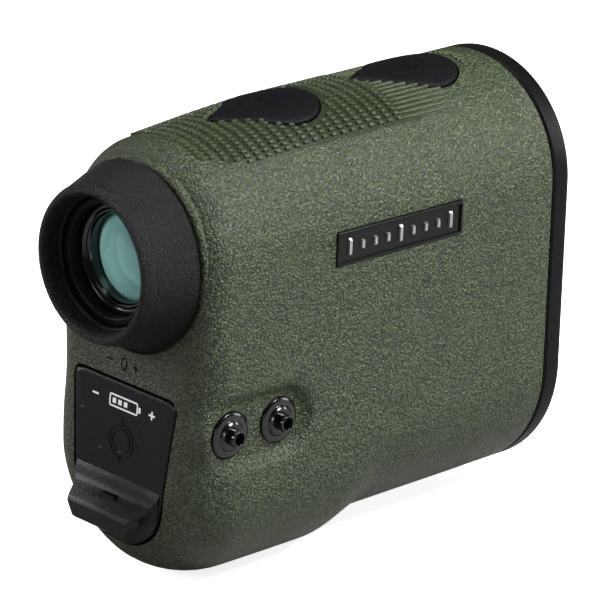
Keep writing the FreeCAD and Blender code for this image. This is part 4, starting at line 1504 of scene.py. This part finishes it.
class CoilTree(GrowthTree):
    """A tapering coil of round wire with its axis along Y."""

    name = "ContactCoil"
    sockets = {"Turns": "Float", "Wide": "Float", "Narrow": "Float", "Rise": "Float",
               "Wire": "Float", "Place": "Vector", "Finish": "Material"}

    def wire(self, tree: Tree, start: bpy.types.Node) -> bpy.types.NodeSocket:
        """Sweep the wire along a spiral and turn it on to its axis.

        Args:
            tree: The tree to add to.
            start: The tree's input node.

        Returns:
            The socket.
        """
        spiral = tree.add("GeometryNodeCurveSpiral",
                          {"Resolution": 32, "Rotations": start.outputs["Turns"],
                           "Start Radius": start.outputs["Wide"],
                           "End Radius": start.outputs["Narrow"], "Height": start.outputs["Rise"]})
        profile = tree.add("GeometryNodeCurvePrimitiveCircle",
                           {"Resolution": 12, "Radius": start.outputs["Wire"]})
        swept = tree.add("GeometryNodeCurveToMesh",
                         {"Curve": spiral.outputs[0], "Profile Curve": profile.outputs[0],
                          "Fill Caps": True})
        turned = tree.add("GeometryNodeTransform",
                          {"Geometry": swept.outputs[0], "Translation": start.outputs["Place"],
                           "Rotation": (-math.pi / 2.0, 0.0, 0.0)})
        return turned.outputs[0]


class TickTree(GrowthTree):
    """Raised ticks, one on each point, sized by the point's own height."""

    name = "BadgeTicks"
    sockets = {"Depth": "Float", "Width": "Float", "Finish": "Material"}

    def wire(self, tree: Tree, start: bpy.types.Node) -> bpy.types.NodeSocket:
        """Build one tick and put it on every point.

        Args:
            tree: The tree to add to.
            start: The tree's input node.

        Returns:
            The socket.
        """
        size = tree.add("ShaderNodeCombineXYZ", {0: start.outputs["Depth"],
                                                 1: start.outputs["Width"], 2: 1.0 * MM})
        cube = tree.add("GeometryNodeMeshCube", {"Size": size.outputs[0], "Vertices X": 2,
                                                 "Vertices Y": 2, "Vertices Z": 2})
        normal = tree.add("ShaderNodeSeparateXYZ",
                          {0: tree.add("GeometryNodeInputNormal").outputs[0]})
        outer = tree.add("FunctionNodeCompare", {0: normal.outputs["X"], 1: 0.5},
                         data_type="FLOAT", operation="GREATER_THAN")
        face = tree.add("GeometryNodeScaleElements",
                        {"Geometry": cube.outputs["Mesh"], "Selection": outer.outputs[0],
                         "Scale": 0.72}, domain="FACE")
        tall = tree.add("GeometryNodeInputNamedAttribute", {"Name": "tall"}, data_type="FLOAT")
        stretch = tree.add("ShaderNodeCombineXYZ", {0: 1.0, 1: 1.0, 2: tall.outputs["Attribute"]})
        facing = tree.add("GeometryNodeInputNamedAttribute", {"Name": "facing"},
                          data_type="FLOAT_VECTOR")
        turn = tree.add("FunctionNodeAlignRotationToVector",
                        {"Vector": facing.outputs["Attribute"]}, axis="X", pivot_axis="Z")
        spots = tree.add("GeometryNodeInstanceOnPoints",
                         {"Points": start.outputs["Geometry"], "Instance": face.outputs[0],
                          "Rotation": turn.outputs[0], "Scale": stretch.outputs[0]})
        return spots.outputs[0]


@dataclass
class Housing(SubAssembly):
    """The plastic housing inside the armour, trimmed to the armour's inner face."""

    palette: Palette
    form: BodyForm
    inset: float = 1.85

    def build(self) -> None:
        """Copy the housing, close its seams and trim what would reach the armour."""
        source = frame["nodes"]["main_housing"]
        work = bmesh.new()
        work.from_mesh(source.data)
        bmesh.ops.remove_doubles(work, verts=work.verts, dist=0.000002)
        mesh = bpy.data.meshes.new("housing_shell")
        work.to_mesh(mesh)
        work.free()
        shell = bpy.data.objects.new("housing_shell", mesh)
        bpy.context.scene.collection.objects.link(shell)
        bound = self.form.solid("bound", self.inset, 46.0)
        combine(shell, Mix.SHARE, bound, sharp=30.0)
        self.place(shell, "root", "housing", "main_housing")


@dataclass
class Badges(SubAssembly):
    """The badge plates on both sides with their raised frames and scale ticks."""

    palette: Palette
    form: BodyForm
    length: float = 29.8
    tall: float = 6.1
    middle: ClassVar[Flat] = (5.0, 59.0)
    thick: float = 0.8
    proud: float = 0.1
    frame: float = 0.55
    tick_gap: float = 2.98

    @staticmethod
    def slope() -> float:
        """Return how far the sides spread for each millimetre forward."""
        return 1.9 / 84.7

    @classmethod
    def on_side(cls, side: int, along: float, z: float, lift: float) -> Point:
        """Return a point at a distance out from a side of the body."""
        surface = 19.0 + (along + 37.5) * cls.slope()
        return side * (surface + lift), along - lift * cls.slope(), z

    @classmethod
    def slab(cls, name: str, side: int, length: float, tall: float, low: float, high: float,
             corner: float = 0.35) -> bpy.types.Object:
        """Return a slab that lies on a side of the body.

        Args:
            name: The object's name.
            side: 1 for the right and -1 for the left.
            length: Its length along the body.
            tall: Its height.
            low: Where it starts, out from the surface.
            high: Where it ends.
            corner: The radius of its corners.

        Returns:
            The slab.
        """
        half, up = length / 2.0, tall / 2.0
        plan = rounded([(half, up, corner), (-half, up, corner), (-half, -up, corner),
                        (half, -up, corner)])
        rings = [[cls.on_side(side, cls.middle[0] + a, cls.middle[1] + b, lift) for a, b in plan]
                 for lift in (low, high)]
        return make_piece(name, *stacked(rings), 35.0)

    @classmethod
    def recess(cls, side: int) -> bpy.types.Object:
        """Return the tool that cuts the plate's bed into the armour."""
        return cls.slab("bed", side, 30.0, 6.3, -0.78, 4.0)

    def build(self) -> None:
        """Make both plates and all their ticks."""
        places: list[Point] = []
        facing: list[Point] = []
        tall: list[float] = []
        for side, hand in ((1, "right"), (-1, "left")):
            plate = self.slab("badge_" + hand, side, self.length, self.tall, -0.7, 0.42)
            bevelled(plate, 0.22, 3)
            well = self.slab("well", side, self.length - 2.0 * self.frame,
                             self.tall - 2.0 * self.frame, self.proud - 0.02, 3.0, 0.2)
            combine(plate, Mix.CUT, well)
            self.place(plate, "root", "badge", "badge_plate_" + hand)
            for index in range(-4, 5):
                place = self.on_side(side, self.middle[0] + index * self.tick_gap,
                                     self.middle[1], self.proud + 0.1)
                places.append(place)
                facing.append((float(side), -self.slope(), 0.0))
                tall.append(3.4 if index % 4 == 0 else 1.8)
        carrier = make_piece("badge_ticks", places, [])
        spread_out = carrier.data.attributes.new("facing", "FLOAT_VECTOR", "POINT")
        spread_out.data.foreach_set("vector", [c for v in facing for c in v])
        carrier.data.attributes.new("tall", "FLOAT", "POINT").data.foreach_set("value", tall)
        grown = TickTree().apply(carrier, {"Depth": 0.5 * MM, "Width": 0.8 * MM,
                                           "Finish": self.palette.made["badge_marks"]})
        self.place(grown, "root", "badge_marks", "badge_marks_right", "badge_marks_left")


@dataclass
class Posts(SubAssembly):
    """The two clip posts with their stepped flanges."""

    palette: Palette
    form: BodyForm

    def build(self) -> None:
        """Turn both tubes and both flanges."""
        tubes, flanges = [], []
        for along in POST_PLACES:
            centre = (0.0, along, POST_HEIGHT)
            tube = rounded([(15.5, 1.0, 0), (15.5, 1.55, 0), (20.6, 1.55, 0.3),
                            (21.1, 1.42, 0.1), (21.1, 1.1, 0.1), (20.8, 1.0, 0),
                            (16.1, 1.0, 0)], steps=4)
            tubes.append(lathe("tube", tube, centre, "X", 64))
            flange = rounded([(15.5, 1.56, 0), (15.5, 2.6, 0), (18.35, 2.6, 0), (18.35, 3.7, 0.05),
                              (18.5, 3.95, 0.1), (18.78, 3.95, 0.1), (18.95, 3.6, 0.1),
                              (19.02, 2.75, 0.1), (19.35, 2.55, 0.12), (19.62, 2.2, 0.15),
                              (19.62, 1.56, 0)], steps=4)
            flanges.append(lathe("flange", flange, centre, "X", 96))
        self.place(joined("post_tubes", tubes), "root", "post_black", "clip_posts")
        self.place(joined("post_flanges", flanges), "root", "post_black", "clip_post_flanges")


@dataclass
class Bezel(SubAssembly):
    """The front bezel with its stepped lens openings."""

    palette: Palette
    form: BodyForm
    rear: float = 43.0
    front: float = 47.2
    face: float = 2.8
    wall: float = 3.6
    edge: float = 1.3

    def build(self) -> None:
        """Make the bezel."""
        form = self.form
        rings = [form.ring(self.rear, 0.35), form.ring(self.rear + 0.35, 0.0),
                 form.ring(self.front - self.edge, 0.0)]
        for index in range(1, 7):
            turn = math.pi / 2.0 * index / 6
            rings.append(form.ring(self.front - self.edge * (1.0 - math.sin(turn)),
                                   self.edge * (1.0 - math.cos(turn))))
        rings.append(form.ring(self.front, self.edge + 1.2))
        bezel = make_piece("bezel_frame", *stacked(rings), 30.0)
        hollow = make_piece("hollow", *stacked([form.ring(self.rear - 1.0, self.wall),
                                                form.ring(self.front - self.face, self.wall)]))
        tools = [hollow]
        for height, radius in ((EYE_HEIGHT, 13.2), (TAKE_HEIGHT, 10.2)):
            step = rounded([(40.0, 0.0, 0), (40.0, radius, 0), (45.4, radius, 0.3),
                            (45.7, radius + 0.7, 0.3), (46.1, radius + 0.8, 0.3),
                            (47.0, radius + 1.9, 0.3), (47.2, radius + 2.3, 0),
                            (52.0, radius + 2.3, 0), (52.0, 0.0, 0)], False, 4)
            tools.append(lathe("lens_way", step, (0.0, 0.0, height)))
        combine(bezel, Mix.CUT, *tools, sharp=32.0)
        self.place(bezel, "root", "bezel", "front_bezel")


@dataclass
class FrontOptics(SubAssembly):
    """The two front lenses and their threaded rings."""

    palette: Palette
    form: BodyForm

    def build(self) -> None:
        """Turn the lenses and rings."""
        for label, height, radius, vertex, curve, finish in (
                ("objective", EYE_HEIGHT, 12.0, 43.2, 60.0, "front_glass"),
                ("receiver", TAKE_HEIGHT, 9.0, 42.6, 45.0, "take_glass")):
            centre = (0.0, 0.0, height)
            self._lens(label, centre, radius, vertex, curve, finish)
            ring = rounded([(vertex - 1.3, radius - 0.6, 0), (vertex - 1.3, radius, 0),
                            (vertex + 0.3, radius, 0.1), (vertex + 0.3, radius - 0.35, 0.12),
                            (vertex - 0.25, radius - 0.6, 0.1)], steps=3)
            self.place(lathe(label + "_rim", ring, centre), "root", "black_anodised",
                       label + "_ring")

    def _lens(self, label: str, centre: Point, radius: float, vertex: float, curve: float,
              finish: str) -> None:
        """Turn one lens with a domed front face.

        Args:
            label: The start of its name.
            centre: A point on its axis.
            radius: Its radius.
            vertex: Where its face is furthest out.
            curve: The radius of its dome.
            finish: The name of its finish.
        """
        sag = curve - math.sqrt(curve * curve - radius * radius)
        outline = [(vertex - GLASS_DEPTH, 0.0), (vertex - GLASS_DEPTH, radius)]
        for index in range(12, -1, -1):
            reach = radius * index / 12
            outline.append((vertex - sag * (reach / radius) ** 2, reach))
        self.place(lathe(label + "_glass", outline, centre), "root", "coated_glass",
                   label + "_lens", finish=finish)


@dataclass
class Eyepiece(SubAssembly):
    """The eyecup with its sleeve, the ocular cell, its ring and the eye lens."""

    palette: Palette
    form: BodyForm

    def build(self) -> None:
        """Turn every ring of the eyepiece."""
        centre = (0.0, 0.0, EYE_HEIGHT)
        cup = rounded([(-37.75, 12.4, 0), (-37.75, 16.5, 0.6), (-45.4, 13.92, 1.2),
                       (-46.4, 13.74, 1.0), (-47.59, 13.15, 0.95), (-47.59, 12.1, 0.8),
                       (-46.6, 11.75, 0.5), (-44.5, 11.55, 0), (-44.5, 12.4, 0)], steps=6)
        self.place(lathe("cup", cup, centre, around=192), "diopter_ring", "cup_rubber", "eyecup")
        sleeve = rounded([(-36.2, 11.05, 0), (-36.2, 12.4, 0), (-44.5, 12.4, 0),
                          (-44.5, 11.35, 0.25), (-44.1, 11.05, 0.2)], steps=4)
        self.place(lathe("sleeve", sleeve, centre), "diopter_ring", "cup_rubber",
                   "diopter_sleeve", finish="bezel")
        barrel = rounded([(-22.0, 9.65, 0), (-22.0, 11.0, 0), (-33.4, 11.0, 0), (-33.4, 14.2, 0),
                          (-35.6, 14.2, 0), (-35.6, 11.0, 0), (-43.6, 11.0, 0.25),
                          (-43.6, 9.65, 0.3)], steps=4)
        self.place(lathe("barrel", barrel, centre), "root", "black_anodised", "eyepiece_barrel",
                   finish="bezel")
        cell = rounded([(-27.0, 8.3, 0), (-27.0, 9.6, 0), (-41.5, 9.6, 0.3), (-41.5, 8.75, 0.2),
                        (-41.1, 8.3, 0.1)], steps=4)
        self.place(lathe("cell", cell, centre), "ocular_cell", "black_anodised", "ocular_cell",
                   finish="post_black")
        ring = rounded([(-38.8, 7.7, 0), (-38.8, 8.3, 0), (-41.0, 8.3, 0), (-41.0, 8.05, 0.1),
                        (-40.5, 7.7, 0.15)], steps=3)
        self.place(lathe("cell_rim", ring, centre), "ocular_cell", "black_anodised",
                   "ocular_retaining_ring", finish="post_black")
        outline = [(-36.2, 0.0), (-36.2, 8.3)]
        for index in range(16, -1, -1):
            reach = 8.3 * index / 16
            outline.append((-40.4 + 18.0 - math.sqrt(324.0 - reach * reach), reach))
        self.place(lathe("eye_glass", outline, centre), "ocular_cell", "coated_glass",
                   "eye_lens", finish="eye_glass")


@dataclass
class Buttons(SubAssembly):
    """The two teardrop buttons with their raised icons."""

    palette: Palette
    form: BodyForm
    proud: float = 0.46
    thick: float = 1.15

    def build(self) -> None:
        """Make both caps, stems and icons."""
        for end, body in zip(BUTTON_ENDS, ("menu_button", "measure_button")):
            centre = end - BUTTON_ROUND
            cap = self._cap(body + "_cap", end)
            stem = lathe("stem", [(75.65, 0.0), (75.65, 1.6), (79.3, 1.6), (79.3, 0.0)],
                         (0.0, centre, 0.0), "Z", 48)
            combine(cap, Mix.JOIN, stem, self._icon(body, centre), sharp=35.0)
            self.place(cap, body, "button_rubber", body)

    def _cap(self, name: str, end: float) -> bpy.types.Object:
        """Make one cap that follows the crown, with rounded edges.

        Args:
            name: The name of the new object.
            end: Where the cap ends at the front.

        Returns:
            The cap.
        """
        rings: list[list[Point]] = []
        for margin, drop in ((0.0, self.thick), (0.0, 0.62), (-0.05, 0.34), (-0.2, 0.16),
                             (-0.45, 0.05), (-0.8, 0.0)):
            rings.append([self.form.crown_at(x, y, self.proud - drop)
                          for x, y in teardrop(end, margin)])
        for scale in (0.86, 0.72, 0.58, 0.44, 0.3, 0.17, 0.06):
            rings.append([self.form.crown_at(x, y, self.proud)
                          for x, y in teardrop(end, -0.8, scale)])
        under = [[self.form.crown_at(x, y, self.proud - self.thick)
                  for x, y in teardrop(end, 0.0, scale)]
                 for scale in (0.06, 0.3, 0.6, 0.85)]
        return make_piece(name, *stacked(under + rings), 50.0)

    def _icon(self, body: str, centre: float) -> bpy.types.Object:
        """Raise a plain sight ring or three bars on a cap."""
        def surface(x: float, y: float, lift: float) -> Point:
            """Return a point above the cap's top."""
            return self.form.crown_at(x, y, self.proud + lift)

        if body == "measure_button":
            lines = [(circle_track(0.0, centre, 2.5), 0.5, True)]
            for side in (1, -1):
                lines.append((line_track((0.0, centre + side * 1.1), (0.0, centre + side * 1.9), 4),
                              0.45, False))
                arm = line_track((side * 1.1, centre), (side * 1.9, centre), 4)
                lines.append((arm, 0.45, False))
            lines.append((circle_track(0.0, centre, 0.3, 12), 0.55, True))
        else:
            lines = [(line_track((-2.2, centre + step), (2.2, centre + step), 12), 0.55, False)
                     for step in (-1.5, 0.0, 1.5)]
            lines += [(circle_track(side * 1.6, centre - 5.4, 0.25, 12), 0.45, True)
                      for side in (1, -1)]
        return relief(body + "_icon", lines, surface, 0.13, 0.4, 0.06)


@dataclass
class BatteryDoor(SubAssembly):
    """The hinged door with its lip, plain marks, hinge pin and spring."""

    palette: Palette
    form: BodyForm
    plan: DoorPlan = field(default_factory=DoorPlan)
    gap: float = 0.45
    thick: float = 1.5
    top: float = 36.0
    hinge: Flat = (-37.6, 34.75)

    def build(self) -> None:
        """Make the door, its marks and its spring."""
        door = self._plate()
        combine(door, Mix.JOIN, self._lip())
        roll = lathe("roll", rounded([(-12.4, 0.66, 0), (-12.4, 1.42, 0.2), (12.4, 1.42, 0.2),
                                      (12.4, 0.66, 0)], steps=3), (0.0, *self.hinge), "X", 48)
        combine(door, Mix.JOIN, roll)
        combine(door, Mix.JOIN, self._raised())
        for name, low, high, near in (("grip_bar", 16.2, 17.1, -42.55),
                                      ("foot_bar", 9.0, 10.0, -41.2)):
            bar = prism(name, rounded([(-1.8, low, 0.2), (1.8, low, 0.2), (1.8, high, 0.2),
                                       (-1.8, high, 0.2)], steps=3), near, -39.8, "Y")
            combine(door, Mix.JOIN, bar)
        self.place(door, "battery_door", "door", "battery_door")
        pin = lathe("pin", rounded([(-14.6, 0.0, 0), (-14.6, 0.6, 0.15), (14.6, 0.6, 0.15),
                                    (14.6, 0.0, 0)], False, 3), (0.0, *self.hinge), "X", 32)
        self.place(pin, "root", "spring_steel", "door_hinge_pin")
        printed = relief("door_print", self._cell_icon(), self.form.rear_at, 0.03, 0.05, 0.0)
        self.place(printed, "battery_door", "door", finish="marks")
        spring = make_piece("contact_coil", [(0.0, 0.0, 0.0)], [])
        grown = CoilTree().apply(spring, {
            "Turns": 5.0, "Wide": 3.9 * MM, "Narrow": 2.2 * MM, "Rise": 2.2 * MM,
            "Wire": 0.3 * MM, "Place": (0.0, -37.8 * MM, 21.5 * MM),
            "Finish": self.palette.made["spring_steel"]})
        self.place(grown, "battery_door", "spring_steel", "door_contact_spring")

    def _plate(self) -> bpy.types.Object:
        """Make the door's plate with softened edges, following the rear face."""
        rings: list[list[Point]] = []
        for margin, drop in ((0.0, self.thick), (0.0, 0.34), (-0.07, 0.12), (-0.2, 0.03),
                             (-0.4, 0.0)):
            rings.append([self._face(x, z, drop) for x, z in self._rim(margin)])
        for scale in (0.85, 0.7, 0.55, 0.4, 0.25, 0.1):
            rings.append([self._face(x * scale, 22.0 + (z - 22.0) * scale, 0.0)
                          for x, z in self._rim(-0.4)])
        under = [[self._face(x * s, 22.0 + (z - 22.0) * s, self.thick) for x, z in self._rim(0.0)]
                 for s in (0.1, 0.4, 0.7, 0.9)]
        return make_piece("door_plate", *stacked(under + rings), 45.0)

    def _rim(self, margin: float) -> list[Flat]:
        """Return the plate's outline, less a margin, with no long runs."""
        return spread(self.plan.outline(-self.gap + margin, self.top + margin), 1.2,
                      self.plan.outline(-self.gap, self.top))

    def _face(self, x: float, z: float, sunk: float) -> Point:
        """Return a point on the door, rounded over near its hinge."""
        over = max(0.0, z - self.hinge[1])
        return self.form.rear_at(x, z, -sunk - 0.22 * over * over)

    def _lip(self) -> bpy.types.Object:
        """Make the pull lip, tapered in plan and section."""
        ramp = prism("ramp", rounded([(-38.6, 20.6, 0), (-40.1, 19.7, 0.6), (-41.2, 17.3, 2.6),
                                      (-44.4, 15.2, 0.2), (-44.9, 14.5, 0.12),
                                      (-44.75, 11.9, 0.25), (-44.0, 11.3, 0.3),
                                      (-42.4, 12.3, 1.2), (-38.6, 12.0, 0)], steps=5),
                     -11.0, 11.0, "X")
        plan = prism("lip_plan", rounded([(-10.3, -37.0, 0), (-10.3, -40.6, 0.3),
                                          (-8.9, -41.7, 1.6), (-7.4, -44.9, 0.2),
                                          (7.4, -44.9, 0.2), (8.9, -41.7, 1.6),
                                          (10.3, -40.6, 0.3), (10.3, -37.0, 0)], steps=4),
                     5.0, 25.0, "Z")
        front = prism("lip_front", rounded([(-10.6, 21.0, 0), (-10.6, 17.6, 0.5), (-7.4, 14.4, 0.4),
                                            (-5.7, 10.8, 0), (5.7, 10.8, 0), (7.4, 14.4, 0.4),
                                            (10.6, 17.6, 0.5), (10.6, 21.0, 0)], steps=3),
                      -46.0, -41.0, "Y")
        back = prism("lip_back", [(-10.6, 21.0), (-10.6, 12.0), (10.6, 12.0), (10.6, 21.0)],
                     -41.0, -37.0, "Y")
        combine(front, Mix.JOIN, back)
        within = prism("lip_within", self.plan.outline(-self.gap), -48.0, -36.0, "Y")
        return bevelled(combine(ramp, Mix.SHARE, plan, front, within, sharp=35.0), 0.12, 2, 35.0)

    def _raised(self) -> bpy.types.Object:
        """Raise a plain ringed cross on the plate."""
        centre = 26.0
        lines = [(circle_track(0.0, centre, 2.9, 56), 0.34, True),
                 (circle_track(0.0, centre, 2.1, 48), 0.3, True)]
        for side in (1, -1):
            lines.append((line_track((side * 2.45, centre), (side * 4.3, centre)), 0.34, False))
            lines.append((line_track((0.0, centre + side * 2.45), (0.0, centre + side * 3.9)),
                          0.34, False))
        return relief("door_cross", lines, self.form.rear_at, 0.12, 0.3, 0.05)

    def _cell_icon(self) -> list[tuple[Sequence[Flat], float, bool]]:
        """Return the strokes of a plain battery cell with its poles."""
        low, high, wide = 31.6, 33.6, 3.4
        box = spread(rounded([(-wide, low, 0.3), (wide, low, 0.3), (wide, high, 0.3),
                              (-wide, high, 0.3)], steps=3), 0.8)
        middle = (low + high) / 2.0
        nub = line_track((wide + 0.55, middle - 0.5), (wide + 0.55, middle + 0.5))
        strokes = [(box, 0.3, True), (nub, 0.5, False)]
        for place in (-2.3, -0.9, 0.5):
            strokes.append((line_track((place, low + 0.55), (place, high - 0.55)), 0.85, False))
        for side, cross in ((-1, False), (1, True)):
            at = side * 7.0
            strokes.append((line_track((at - 0.75, middle), (at + 0.75, middle)), 0.34, False))
            if cross:
                strokes.append((line_track((at, middle + 0.75), (at, middle + 0.2)), 0.34, False))
                strokes.append((line_track((at, middle - 0.2), (at, middle - 0.75)), 0.34, False))
        return strokes


@dataclass
class Carried(SubAssembly):
    """The CAD nodes that keep their own shape and take a finish."""

    palette: Palette
    form: BodyForm

    def build(self) -> None:
        """Dress every CAD node that is still shown, by its slot in the record."""
        for name, node in sorted(frame["nodes"].items()):
            if node.hide_render:
                continue
            slot = node.data.materials[0].name.split(".")[0] if node.data.materials else ""
            finish = slot if slot in self.palette.made else "housing"
            if slot == "coated_glass":
                finish = "eye_glass"
            self.palette.dress(node, finish)
            LOG.info("%s keeps its shape, finish %s", name, finish)


# ---- Studio -------------------------------------------------------------------------------

@dataclass
class Studio:
    """The camera, the floor and the lights."""

    target: Point = (0.0, 0.65, 40.4)
    azimuth: float = 44.68
    elevation: float = 19.87
    roll: float = 2.41
    distance: float = 709.94
    shift: Flat = (1.69, 0.85)
    lens: float = 241.2

    def build(self) -> None:
        """Set up the whole studio."""
        bpy.context.scene.view_settings.view_transform = "Standard"
        self._camera()
        self._floor()
        self._lights()

    def _camera(self) -> None:
        """Place the camera."""
        a, e, r = (math.radians(v) for v in (self.azimuth, self.elevation, self.roll))
        back = Vector((math.sin(a) * math.cos(e), -math.cos(a) * math.cos(e), math.sin(e)))
        right = Vector((math.cos(a), math.sin(a), 0.0))
        up = back.cross(right)
        across = right * math.cos(r) + up * math.sin(r)
        upright = up * math.cos(r) - right * math.sin(r)
        spot = Vector(self.target) + across * self.shift[0] + upright * self.shift[1]
        spot += back * self.distance
        data = bpy.data.cameras.new("StudioCamera")
        data.lens = self.lens
        data.sensor_width = 36.0
        data.clip_start, data.clip_end = 0.01, 50.0
        camera = bpy.data.objects.new("StudioCamera", data)
        bpy.context.scene.collection.objects.link(camera)
        turn = Matrix((across, upright, back)).transposed().to_4x4()
        camera.matrix_world = Matrix.Translation(spot * MM) @ turn
        bpy.context.scene.camera = camera

    def _floor(self) -> None:
        """Lay a pale floor and set the pale surroundings."""
        floor = make_piece("floor", [(-4000, -4000, 0), (4000, -4000, 0), (4000, 4000, 0),
                                     (-4000, 4000, 0)], [(0, 1, 2, 3)])
        material = bpy.data.materials.new("FloorPaper")
        material.use_nodes = True
        tree = Tree(material.node_tree)
        place = tree.add("ShaderNodeTexCoord").outputs["Object"]
        mottle = tree.add("ShaderNodeTexNoise", {"Vector": place, "Scale": 8.0})
        tone = tree.mix(mottle.outputs["Fac"], (0.93, 0.93, 0.93, 1.0), (0.95, 0.95, 0.95, 1.0))
        seen = tree.add("ShaderNodeLightPath").outputs["Is Camera Ray"]
        shader = material.node_tree.nodes["Principled BSDF"]
        tree.feed(shader, {"Base Color": tree.mix(seen, (0.3, 0.3, 0.3, 1.0), tone),
                           "Emission Color": (1.0, 1.0, 1.0, 1.0),
                           "Emission Strength": tree.math("MULTIPLY", seen, 0.8),
                           "Roughness": 0.9, "Specular IOR Level": 0.1})
        floor.data.materials.append(material)
        world = bpy.data.worlds.new("PaleRoom")
        bpy.context.scene.world = world
        world.use_nodes = True
        room = Tree(world.node_tree)
        seen = room.add("ShaderNodeLightPath").outputs["Is Camera Ray"]
        room.feed(world.node_tree.nodes["Background"],
                  {"Color": (1.0, 1.0, 1.0, 1.0), "Strength": room.between(seen, 0.08, 1.0)})

    def _lights(self) -> None:
        """Hang soft boxes over the body and beside it."""
        for name, spot, size, power in (
                ("KeyBox", (0.26, 0.12, 0.33), (0.12, 0.12), 3.9),
                ("TopBox", (-0.05, -0.10, 0.80), (0.45, 0.45), 3.5),
                ("LeftBox", (-0.70, -0.30, 0.30), (0.40, 0.40), 3.2),
                ("FrontBox", (0.40, 0.75, 0.28), (0.35, 0.35), 2.4),
                ("SideBox", (0.75, -0.30, 0.10), (0.20, 0.20), 0.8),
                ("RearBox", (-0.20, -0.85, 0.40), (0.30, 0.30), 3.0)):
            data = bpy.data.lights.new(name, "AREA")
            data.shape = "RECTANGLE"
            data.size, data.size_y = size
            data.energy = power
            lamp = bpy.data.objects.new(name, data)
            lamp.visible_camera = False
            bpy.context.scene.collection.objects.link(lamp)
            aim = Vector(self.target) * MM - Vector(spot)
            lamp.matrix_world = (Matrix.Translation(spot)
                                 @ aim.to_track_quat("-Z", "Y").to_matrix().to_4x4())


def main() -> None:
    """Build the studio and every group of pieces in order."""
    logging.basicConfig(level=logging.INFO, format="%(name)s: %(message)s")
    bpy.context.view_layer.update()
    Studio().build()
    palette, form = Palette(), BodyForm()
    for group in (Armour, Housing, Badges, Posts, Bezel, FrontOptics, Eyepiece, Buttons,
                  BatteryDoor, Carried):
        LOG.info("building %s", group.__name__)
        group(palette, form).build()


if __name__ == "__main__":
    main()
